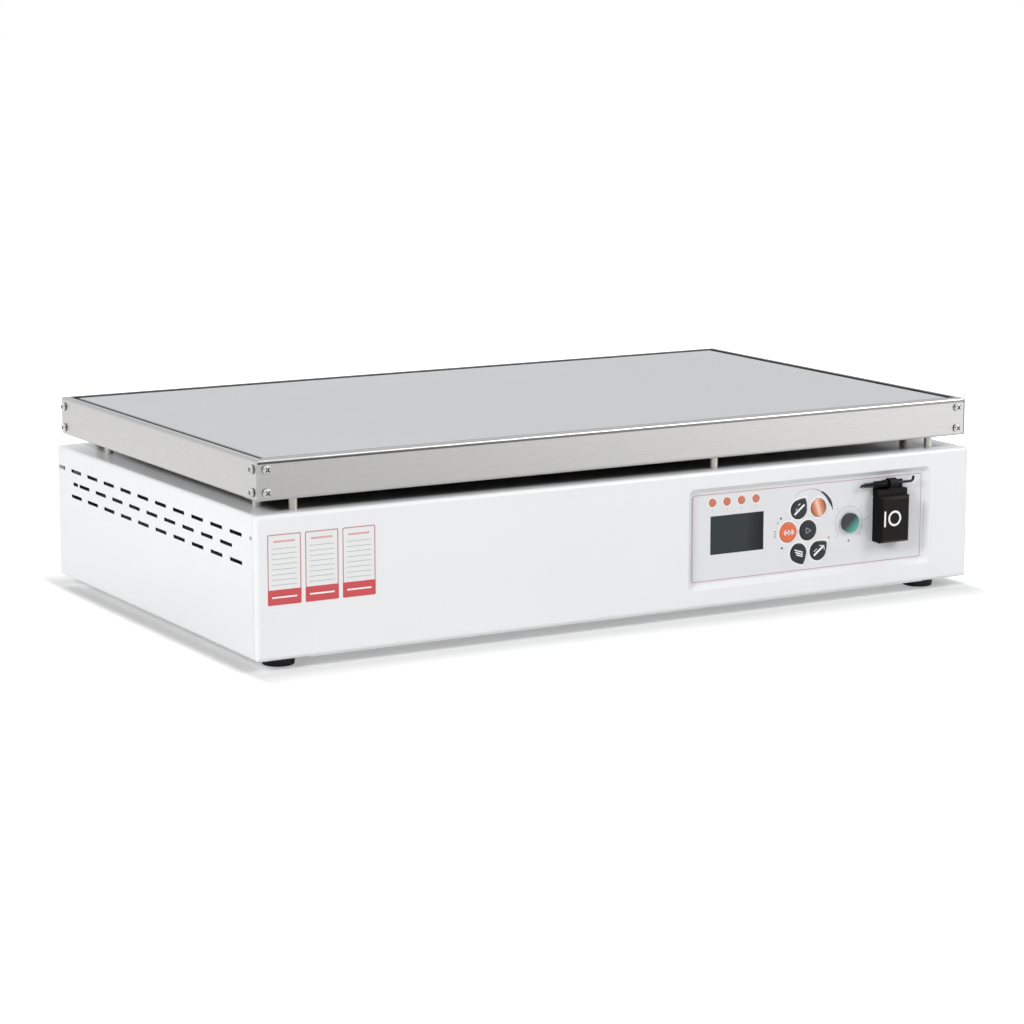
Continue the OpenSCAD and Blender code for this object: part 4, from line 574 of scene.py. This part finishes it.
# Overlay: matt printed polyester film on the recess's floor, pale blue-grey, with a thin red
# border. The print is laid on as thin ink.
panel_x = 156.4
panel_z = 59.5
overlay_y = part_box("panel_overlay")[0].y / MM
border_w = 0.42
border_r = 2.1
border_long, border_high = 208.9, 65.0
digit_size_share = 1.38

film = finish("overlay_film", (0.745, 0.75, 0.765, 1), 0.42, Coat_Weight=0.1)
film_tooth = grain(film, 1200, detail=2)
vary(film, grain(film, 14, detail=2), 0.012)
roughen(film, film_tooth, 0.38, 0.48)
emboss(film, film_tooth, 0.00002, 0.3)
dress(film, "panel_overlay")

border_ink = ink("border_ink", (0.44, 0.20, 0.235, 1))
dark_ink = ink("dark_ink", (0.035, 0.037, 0.04, 1))
grey_ink = ink("grey_ink", (0.36, 0.38, 0.40, 1))
tan_ink = ink("tan_ink", (0.62, 0.40, 0.26, 1))
pale_ink = ink("pale_ink", (0.90, 0.90, 0.90, 1))
pink_ink = ink("pink_ink", (0.70, 0.36, 0.36, 1))


def arc_points(u, v, r, start, end, steps):
    return [(u + r * math.cos(math.radians(start + (end - start) * i / steps)),
             v + r * math.sin(math.radians(start + (end - start) * i / steps)))
            for i in range(steps + 1)]


def round_box(u, v, w, h, r, steps=6):
    loop = []
    for corner, (su, sv) in enumerate(((1, 1), (-1, 1), (-1, -1), (1, -1))):
        loop += arc_points(u + su * (w / 2 - r), v + sv * (h / 2 - r), r,
                           90 * corner, 90 * corner + 90, steps)
    return loop


def digit(text, u, v, height):
    words = bpy.data.curves.new("digit", "FONT")
    words.body = text
    words.size = height * digit_size_share
    words.align_x = "CENTER"
    words.align_y = "CENTER"
    words.resolution_u = 3
    written = bpy.data.objects.new("digit", words)
    bpy.context.scene.collection.objects.link(written)
    bpy.context.view_layer.update()
    shape = written.evaluated_get(bpy.context.evaluated_depsgraph_get()).to_mesh()
    tiles = [[(u + shape.vertices[i].co.x, v + shape.vertices[i].co.y) for i in face.vertices]
             for face in shape.polygons]
    written.to_mesh_clear()
    bpy.data.objects.remove(written)
    return tiles


on_overlay = on_face(overlay_y, panel_x, panel_z)
print_piece("overlay_border", border_ink, "base", on_overlay, rings=[(
    round_box(0, 0, border_long, border_high, border_r),
    round_box(0, 0, border_long - 2 * border_w, border_high - 2 * border_w,
              border_r - border_w))])

# Lamps: four round orange lenses in a row, each a cast dome over its lamp, numbered below.
lamp_x = -86.8
lamp_pitch = 12.87
lamp_z = 26
lens_r = 3.25
lens_dome = 0.9
lens_rim = 0.1
lens_chamfer = 0.2
lamp_ring = (0.1, 0.9)
lamp_number_below, lamp_number_high = 6.2, 1.7

lens_orange = finish("lens_orange", (0.62, 0.18, 0.10, 1), 0.3, Coat_Weight=0.4,
                     Subsurface_Weight=0.15)
vary(lens_orange, grain(lens_orange, 400, detail=2), 0.1)


def turned(name, profile, axis_point, made, body, steps=40):
    """A closed piece turned about the Y axis through axis_point; profile is (radius, y) in mm."""
    form = bmesh.new()
    loops = []
    for radius, y in profile:
        if radius == 0:
            loops.append([form.verts.new((axis_point[0] * MM, y * MM, axis_point[1] * MM))])
        else:
            loops.append([form.verts.new((
                (axis_point[0] + radius * math.cos(2 * math.pi * i / steps)) * MM, y * MM,
                (axis_point[1] + radius * math.sin(2 * math.pi * i / steps)) * MM))
                for i in range(steps)])
    for one, two in zip(loops, loops[1:]):
        if len(one) == len(two):
            bridge(form, one, two)
        else:
            for i in range(steps):
                j = (i + 1) % steps
                form.faces.new((one[0], two[i], two[j]) if len(one) == 1 else
                               (one[i], one[j], two[0]))
    piece = make_piece(name, form, made, body)
    for face in piece.data.polygons:
        face.use_smooth = True
    return piece


lamp_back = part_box("status_lamps")[1].y / MM
for i in range(4):
    dome = [(0, lamp_back), (lens_r - lens_chamfer, lamp_back),
            (lens_r, lamp_back - lens_chamfer), (lens_r, overlay_y - lens_rim)]
    dome += [(lens_r * math.cos(math.radians(t)),
              overlay_y - lens_rim - (lens_dome - lens_rim) * math.sin(math.radians(t)))
             for t in range(15, 90, 15)]
    dome.append((0, overlay_y - lens_dome))
    lens = turned("lamp_lens_%d" % (i + 1), dome,
                  (panel_x + lamp_x + i * lamp_pitch, panel_z + lamp_z),
                  lens_orange, "base")
    if i == 0:
        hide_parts("status_lamps")
print_piece("lamp_numbers", grey_ink, "base", on_overlay, tiles=[
    tile for i in range(4)
    for tile in digit(str(i + 1), lamp_x + i * lamp_pitch, lamp_z - lamp_number_below,
                      lamp_number_high)])
print_piece("lamp_rings", pale_ink, "base", on_overlay, rings=[
    [arc_points(lamp_x + i * lamp_pitch, lamp_z, lens_r + wider, 0, 351, 39)
     for wider in reversed(lamp_ring)] for i in range(4)])

# Display: a dark liquid crystal window, flush with the overlay, without any segment lit.
lcd_x = -65
lcd_z = 1.5
lcd_w = 46.8
lcd_h = 28.5
lcd_shade_from, lcd_shade_full = 8, 23

lcd = finish("display_window", (0.035, 0.044, 0.042, 1), 0.3, Specular_IOR_Level=0.18)
vary(lcd, grain(lcd, 12, detail=1), 0.06)
roughen(lcd, grain(lcd, 40, detail=1), 0.28, 0.33)
# Painted shade: the window darkens towards its right edge.
darken(lcd, spread(lcd, parts_of(lcd, "Object")["X"], 0, 0.75,
                   (panel_x + lcd_x + lcd_shade_from) * MM, (panel_x + lcd_x + lcd_shade_full) * MM),
       (0.004, 0.004, 0.004, 1))
dress(lcd, "display_glass")
edge_black = ink("edge_black", (0.012, 0.012, 0.012, 1))


def stroke(points, width, end_width=None):
    end_width = width if end_width is None else end_width
    left, right = [], []
    for i, (u, v) in enumerate(points):
        u0, v0 = points[max(0, i - 1)]
        u1, v1 = points[min(len(points) - 1, i + 1)]
        length = math.hypot(u1 - u0, v1 - v0)
        half = (width + (end_width - width) * i / (len(points) - 1)) / 2
        nu, nv = -(v1 - v0) / length * half, (u1 - u0) / length * half
        left.append((u + nu, v + nv))
        right.append((u - nu, v - nv))
    return left + right[::-1]


lcd_left, lcd_right = lcd_x - lcd_w / 2, lcd_x + lcd_w / 2
lcd_foot, lcd_head = lcd_z - lcd_h / 2, lcd_z + lcd_h / 2
print_piece("display_edge", edge_black, "base", on_overlay, tiles=[
    stroke([(lcd_right, lcd_head), (lcd_right, lcd_foot)], 1.0),
    stroke([(lcd_left, lcd_foot), (lcd_right + 0.5, lcd_foot)], 0.8)])
moulded_dark = finish("moulded_dark", (0.03, 0.03, 0.03, 1), 0.5)
dark_tooth = grain(moulded_dark, 1500, detail=3)
vary(moulded_dark, dark_tooth, 0.2)
roughen(moulded_dark, dark_tooth, 0.42, 0.6)
dress(moulded_dark, "display_module")

# Keys: six smooth moulded caps that stand a little proud of the overlay, each with a white printed
# margin round it and a pale sign on its face. The upper right one is copper with a painted
# highlight: a pale diagonal band, darkest towards the upper right.
key_places = {
    "key_top_left": (-9.4, 14.0, 54, 7.1, "upper_left_key"),
    "key_top_right": (8.6, 14.0, None, 6.8, "upper_right_key"),
    "key_left": (-18.9, -2.5, None, 7.5, "left_key"),
    "key_centre": (-0.9, -2.5, None, 7.5, "centre_key"),
    "key_bottom_left": (-9.4, -19.0, -65, 7.1, "lower_left_key"),
    "key_bottom_right": (8.6, -19.0, 38, 7.1, "lower_right_key"),
}
key_tip_share = 1.38
key_bulge = 0.35
key_shoulder = ((0.62, 0), (0.42, 0.06), (0.24, 0.26), (0.12, 0.6), (0.06, 1.4), (0.02, 3.0),
                (0, 4.8))
key_foot = 1.2
margin_inner, margin_outer = 0.34, 1.7
copper_highlight_reach = 0.0072


def key_outline(place, grow):
    u, v, tip, r, _ = place
    if tip is None:
        return arc_points(u, v, r + grow, 0, 352, 44)
    r += grow
    reach = r * key_tip_share
    edge = math.acos(1 / key_tip_share)
    cos_e, sin_e = math.cos(edge), math.sin(edge)
    loop = [(r * math.cos(edge + i * (2 * math.pi - 2 * edge) / 32),
             r * math.sin(edge + i * (2 * math.pi - 2 * edge) / 32)) for i in range(33)]
    for side, steps in ((-1, range(1, 7)), (1, range(5, 0, -1))):
        for i in steps:
            t = i / 6
            swell = key_bulge * math.sin(math.pi * t)
            loop.append(((1 - t) * r * cos_e + t * reach + swell * cos_e,
                         side * ((1 - t) * r * sin_e + swell * sin_e)))
    c, s = math.cos(math.radians(tip)), math.sin(math.radians(tip))
    return [(u + c * a - s * b, v + s * a + c * b) for a, b in loop]


def key_cap(name, made, slot):
    """A cap with straight sides, a rounded shoulder and a low crown, over the CAD key."""
    place = key_places[name]
    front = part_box(name)[0].y / MM
    levels = [(overlay_y + key_foot, 0)]
    levels += [(front + lower, -inward) for lower, inward in key_shoulder]
    form = bmesh.new()
    loops = [[form.verts.new(((panel_x + u) * MM, y * MM, (panel_z + v) * MM))
              for u, v in key_outline(place, grow)] for y, grow in levels]
    for one, two in zip(loops, loops[1:]):
        bridge(form, one, two)
    form.faces.new(loops[0])
    form.faces.new(loops[-1])
    cap = make_piece(name + "_cap", form, made, place[4])
    for face in cap.data.polygons:
        face.use_smooth = len(face.vertices) == 4
    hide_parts(name)


def panel_sweep(made, u, v, across, up):
    """How far a point of the panel lies from (u, v), by the given shares across and up."""
    nodes, links = made.node_tree.nodes, made.node_tree.links
    spot = nodes.new("ShaderNodeMapping")
    spot.inputs["Location"].default_value = (-(panel_x + u) * MM, 0, -(panel_z + v) * MM)
    links.new(place_in(made, (1, 1, 1)), spot.inputs["Vector"])
    slope = nodes.new("ShaderNodeVectorMath")
    slope.operation = "DOT_PRODUCT"
    slope.inputs[1].default_value = (across, 0, up)
    links.new(spot.outputs["Vector"], slope.inputs[0])
    return slope.outputs["Value"]


key_dark = finish("key_dark", (0.017, 0.022, 0.027, 1), 0.32, Specular_IOR_Level=0.4)
key_tooth = grain(key_dark, 900, detail=3)
vary(key_dark, key_tooth, 0.12)
roughen(key_dark, key_tooth, 0.26, 0.38)
key_orange = finish("key_orange", (0.74, 0.15, 0.055, 1), 0.34, Coat_Weight=0.3)
vary(key_orange, grain(key_orange, 260, detail=3), 0.07)
roughen(key_orange, grain(key_orange, 900, detail=3), 0.3, 0.42)
key_copper = finish("key_copper", (0.55, 0.20, 0.11, 1), 0.3, 0.3, Coat_Weight=0.6)
copper_nodes, copper_links = key_copper.node_tree.nodes, key_copper.node_tree.links
# Painted highlight: a colour ramp across the copper key, with a pale diagonal band between orange
# and brown shades, darkest at the upper right.
copper_highlight_slope = panel_sweep(key_copper, *key_places["key_top_right"][:2], 1, 0.35)
copper_painted_highlight = copper_nodes.new("ShaderNodeValToRGB")
copper_painted_highlight.color_ramp.elements[0].color = (0.42, 0.12, 0.05, 1)
copper_painted_highlight.color_ramp.elements[1].color = (0.11, 0.045, 0.025, 1)
for stop, shade in ((0.22, (0.66, 0.22, 0.10, 1)), (0.45, (0.88, 0.62, 0.50, 1)),
                    (0.60, (0.74, 0.27, 0.13, 1)), (0.80, (0.42, 0.13, 0.06, 1))):
    copper_painted_highlight.color_ramp.elements.new(stop).color = shade
copper_links.new(spread(key_copper, copper_highlight_slope, 0, 1, -copper_highlight_reach, copper_highlight_reach),
                 copper_painted_highlight.inputs[0])
copper_links.new(copper_painted_highlight.outputs["Color"],
                 copper_nodes["Principled BSDF"].inputs["Base Color"])
roughen(key_copper, grain(key_copper, 90, (1, 1, 0.4), detail=2), 0.24, 0.36)
bright_keys = {"key_top_right": (key_copper, "key_orange"), "key_left": (key_orange, "key_orange")}
for key in key_places:
    key_cap(key, *bright_keys.get(key, (key_dark, "key_dark")))
print_piece("key_margins", pale_ink, "base", on_overlay, rings=[
    (key_outline(place, margin_outer), key_outline(place, margin_inner))
    for place in key_places.values()])


def key_sign(name, strokes):
    place = key_places[name]
    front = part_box(name)[0].y / MM
    made = grey_ink if name == "key_centre" else pale_ink
    return print_piece(name + "_sign", made, place[4],
                       on_face(front, panel_x + place[0], panel_z + place[1]),
                       tiles=[stroke(points, width) for points, width in strokes])


key_sign("key_top_left", [
    ([(-4.6, -3.6), (4.4, 3.6)], 1.5), ([(-1.3, 3.5), (0.6, 4.6)], 0.6),
    ([(-3.4, -0.6), (-2.2, 1.2)], 0.5)])
key_sign("key_left", [
    ([(-4.6, 0), (4.6, 0)], 0.9), ([(-2.6, 1.9), (-4.6, 0), (-2.6, -1.9)], 0.9),
    ([(2.6, 1.9), (4.6, 0), (2.6, -1.9)], 0.9), ([(0, 1.9), (0, -1.9)], 1.1)])
key_sign("key_centre", [
    ([(-2.2, 2.1), (2.4, -0.3)], 0.5), ([(2.4, -0.3), (-2.2, -2.1)], 0.5),
    ([(-2.2, -2.3), (-2.2, 2.3)], 0.5)])
key_sign("key_bottom_left", [
    ([(-3.9, 2.7), (3.5, 0.3)], 0.9), ([(-3.4, 0.9), (3.7, -1.4)], 0.9),
    ([(-2.4, -1.0), (3.4, -2.9)], 0.9)])
key_sign("key_bottom_right", [
    ([(-4.3, -3.3), (4.6, 3.5)], 1.6), ([(0.6, 4.0), (4.9, 3.8), (5.2, 0.4)], 0.6),
    ([(-4.2, -0.4), (-1.6, 1.8)], 0.5)])

# Print round the keys: a level arc that grows from a thin red line to a thick dark bar, and a few
# small dots beside the keys.
level_u, level_v, level_r = 0, 6.5, 22.3
print_piece("level_arc_thin", pink_ink, "base", on_overlay, tiles=[
    stroke(arc_points(level_u, level_v, level_r, 128, 86, 16), 0.35, 0.5)])
print_piece("level_arc_middle", grey_ink, "base", on_overlay, tiles=[
    stroke(arc_points(level_u, level_v, level_r, 86, 60, 12), 0.5, 0.9)])
print_piece("level_arc_thick", dark_ink, "base", on_overlay, tiles=[
    stroke(arc_points(level_u, level_v, level_r, 60, 30, 24), 1.4, 2.6),
    stroke(arc_points(level_u, level_v, level_r, 30, 12, 12), 2.6, 0.4)])
print_piece("panel_dots", dark_ink, "base", on_overlay, tiles=[
    arc_points(u, v, r, 0, 330, 11) for u, v, r in (
        (-25.5, 8.6, 0.9), (-28.4, 5.4, 0.55), (-24.2, -14.1, 0.9))] + [
    stroke([(-31.6, v), (-29.6, v + 0.5)], 0.5) for v in (-1.2, -3.4, -5.2)])
print_piece("panel_dot_tan", tan_ink, "base", on_overlay, tiles=[
    arc_points(18.6, -9.8, 1.1, 0, 330, 11)])

# Limiter dial: a low round knob of moulded plastic, dark grey towards the upper left and green
# towards the lower right, inside a printed scale with plain numbers.
dial_u = 36.9
scale_r = 12.4
scale_start, scale_end = -42, 222
scale_mark = 1.2
numbers_r = 15.2
dial_dark, dial_green = (0.038, 0.039, 0.042, 1), (0.085, 0.40, 0.32, 1)
green_from, green_full = -0.0025, 0.0085

dial_grey = finish("dial_grey", dial_dark, 0.34, Specular_IOR_Level=0.4)
dial_sweep = panel_sweep(dial_grey, dial_u, 0, 1, -1.1)
mix_base(dial_grey, spread(dial_grey, dial_sweep, 0, 1, green_from, green_full), dial_dark,
         dial_green)
dial_sheen = grain(dial_grey, 60, (1, 1, 0.6), detail=2)
roughen(dial_grey, dial_sheen, 0.3, 0.42)
dress(dial_grey, "limiter_dial")


def round_dial(r, degrees):
    return dial_u + r * math.cos(math.radians(degrees)), r * math.sin(math.radians(degrees))


print_piece("dial_scale", grey_ink, "base", on_overlay, tiles=[
    stroke(arc_points(dial_u, 0, scale_r, scale_start, scale_end, 66), 0.25)] + [
    stroke([round_dial(scale_r, a), round_dial(scale_r + scale_mark, a)], 0.3)
    for a in range(scale_start, scale_end + 1, 22)])
print_piece("dial_numbers", grey_ink, "base", on_overlay, tiles=[
    tile for i in range(7)
    for tile in digit(str(i), *round_dial(numbers_r, scale_end - 44 * i), 1.6)])
print_piece("dial_leader", grey_ink, "base", on_overlay, tiles=[
    stroke([(dial_u + 13.9, 0.8), (dial_u + 19.2, 2.9)], 0.4)])
print_piece("dial_mark", dark_ink, "base", on_overlay, tiles=[
    [(dial_u - 1.0, -14.6), (dial_u + 1.0, -14.6), (dial_u, -12.6)]])

# Mains switch: a black rocker in a rimmed body, under a flip cover of black plastic with bevelled
# edges, slightly tapered towards its foot. The cover hangs by its ear on a wire pin; a wound spring
# on the wire closes it.
black = finish("moulded_black", (0.009, 0.009, 0.011, 1), 0.42, Specular_IOR_Level=0.2)
black_tooth = grain(black, 1300, detail=4)
vary(black, black_tooth, 0.25)
roughen(black, black_tooth, 0.36, 0.5)
emboss(black, black_tooth, 0.00004, 0.4)
soften(0.35, "switch_body", "cover_base", "mains_inlet", "fuse_holder", "fuse_cap")
dress(black, "switch_body", "switch_rocker", "cover_base", "mains_inlet", "fuse_holder",
      "fuse_cap")
cover_black = finish("cover_black", (0.0125, 0.0095, 0.0095, 1), 0.42, Specular_IOR_Level=0.12)
cover_tooth = grain(cover_black, 1100, detail=4)
vary(cover_black, cover_tooth, 0.22, (1, 0.94, 0.92))
roughen(cover_black, cover_tooth, 0.34, 0.48)
emboss(cover_black, cover_tooth, 0.00005, 0.5)
# Painted shade: the cover's faces that look left go near black.
darken(cover_black, spread(cover_black, parts_of(cover_black, "Normal")["X"], 1, 0, -0.9, -0.5),
       (0.0003, 0.0003, 0.0005, 1))
cover_taper = 0.3
cover_longer = 0.8
cover_high = 35
cover_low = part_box("switch_cover")[0]
cover_deep = overlay_y * MM - cover_low.y
cover_box_top = cover_low.z + cover_high * MM
sign_x, sign_z = panel_x + 68, panel_z + 1.8
sign_r, sign_w = 6, 1.6
bar_u, circle_u = -5.6, 3.4
cover_mesh = frame["nodes"]["switch_cover"].data.copy()
for corner in cover_mesh.vertices:
    fall = min(1, max(0, (cover_box_top - corner.co.z) / (cover_box_top - cover_low.z)))
    proud = min(1, max(0, (overlay_y * MM - corner.co.y) / cover_deep))
    corner.co.y += cover_taper * MM * fall * proud
    corner.co.z -= cover_longer * MM * fall * proud
cover_mesh.materials.clear()
cover_mesh.materials.append(cover_black)
cover_shell = bpy.data.objects.new("cover_shell", cover_mesh)
bpy.context.scene.collection.objects.link(cover_shell)
soften_piece(cover_shell, 0.3)
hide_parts("switch_cover")
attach(cover_shell, "cover")


def on_cover(u, v, out):
    fall = (cover_box_top / MM - sign_z - v) / cover_high
    return ((sign_x + u) * MM, cover_low.y + (cover_taper * fall - out) * MM, (sign_z + v) * MM)


print_piece("cover_sign", pale_ink, "cover", on_cover,
            tiles=[stroke([(bar_u, -sign_r), (bar_u, sign_r)], sign_w)],
            rings=[(arc_points(circle_u, 0, sign_r, 0, 354, 59),
                    arc_points(circle_u, 0, sign_r - sign_w, 0, 354, 59))], thick=0.05)
wire = finish("blackened_wire", (0.018, 0.02, 0.03, 1), 0.38, 0.7)
wire_scale = grain(wire, 1800, detail=3)
vary(wire, wire_scale, 0.3)
roughen(wire, wire_scale, 0.28, 0.5)
dress(wire, "cover_pin", "cover_spring")

# Stickers: three printed film labels at the front left, for the user's own records, with a pink
# head line, ruled lines and a red foot with a pale line. They carry no words.
sticker_w, sticker_h = 26, 49.8
sticker_z = 71.4
sticker_x = (-281.4, -252.9, -224.4)
sticker_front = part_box("record_stickers")[0].y / MM
foot_z, foot_h = -19.2, 10.6
head_line_z = 19.5
first_line_z, line_pitch, line_half = 14.6, 3.6, 9.5

sticker_film = finish("sticker_film", (0.80, 0.80, 0.80, 1), 0.3, Coat_Weight=0.2)
vary(sticker_film, grain(sticker_film, 30, detail=2), 0.015)
roughen(sticker_film, grain(sticker_film, 900, detail=2), 0.26, 0.36)
dress(sticker_film, "record_stickers")
sticker_red = ink("sticker_red", (0.60, 0.075, 0.085, 1))
sticker_edge = ink("sticker_edge", (0.50, 0.20, 0.22, 1))
for number, left in enumerate(sticker_x, 1):
    on_sticker = on_face(sticker_front, left, sticker_z)
    print_piece("sticker_frame_%d" % number, sticker_edge, "base", on_sticker,
                rings=[(round_box(0, 0, sticker_w - 0.8, sticker_h - 0.8, 1),
                        round_box(0, 0, sticker_w - 2.2, sticker_h - 2.2, 0.6))])
    print_piece("sticker_foot_%d" % number, sticker_red, "base", on_sticker,
                tiles=[round_box(0, foot_z, sticker_w - 0.6, foot_h, 0.9)], thick=0.045)
    print_piece("sticker_head_%d" % number, pink_ink, "base", on_sticker,
                tiles=[stroke([(-8.2, head_line_z), (8.2, head_line_z)], 1.3)])
    print_piece("sticker_lines_%d" % number, grey_ink, "base", on_sticker,
                tiles=[stroke([(-line_half, first_line_z - i * line_pitch),
                               (line_half, first_line_z - i * line_pitch)], 0.35)
                       for i in range(8)])
    print_piece("sticker_tally_%d" % number, pale_ink, "base", on_sticker,
                tiles=[stroke([(-9.4, foot_z), (9.4, foot_z)], 1.1)], thick=0.06)

# Electrics inside the housing: green boards, a solid-state relay on an extruded heat sink, copper
# capillary, silicone leads and a brass earth stud. Little of it shows, through the air slots.
board = finish("board_green", (0.03, 0.16, 0.07, 1), 0.4)
board_weave = grain(board, 1500, detail=3)
vary(board, board_weave, 0.2)
roughen(board, board_weave, 0.34, 0.5)
dress(board, "control_board", "power_board")
relay_case = finish("relay_case", (0.66, 0.65, 0.58, 1), 0.5)
vary(relay_case, grain(relay_case, 800, detail=3), 0.06)
dress(relay_case, "solid_state_relay")
extruded = finish("extruded_aluminium", (0.72, 0.72, 0.73, 1), 0.36, 1.0)
draw_lines = grain(extruded, 1600, (1, 0.02, 1), detail=4)
vary(extruded, draw_lines, 0.1)
roughen(extruded, draw_lines, 0.3, 0.46)
dress(extruded, "heat_sink")
copper = finish("drawn_copper", (0.72, 0.36, 0.19, 1), 0.32, 1.0)
vary(copper, grain(copper, 300, detail=4), 0.2, (0.8, 0.75, 0.7))
dress(copper, "limiter_capillary")
sleeve = finish("silicone_sleeve", (0.42, 0.04, 0.03, 1), 0.5)
vary(sleeve, grain(sleeve, 700, detail=3), 0.15)
dress(sleeve, "inner_wiring")
brass = finish("turned_brass", (0.72, 0.5, 0.19, 1), 0.3, 1.0)
brass_rings = grain(brass, 1500, detail=2)
vary(brass, brass_rings, 0.12)
roughen(brass, brass_rings, 0.24, 0.4)
dress(brass, "earth_stud")
fuse_glass = finish("fuse_glass", (0.80, 0.83, 0.82, 1), 0.12, 0.3)
vary(fuse_glass, grain(fuse_glass, 300, detail=2), 0.08)
dress(fuse_glass, "fuse")
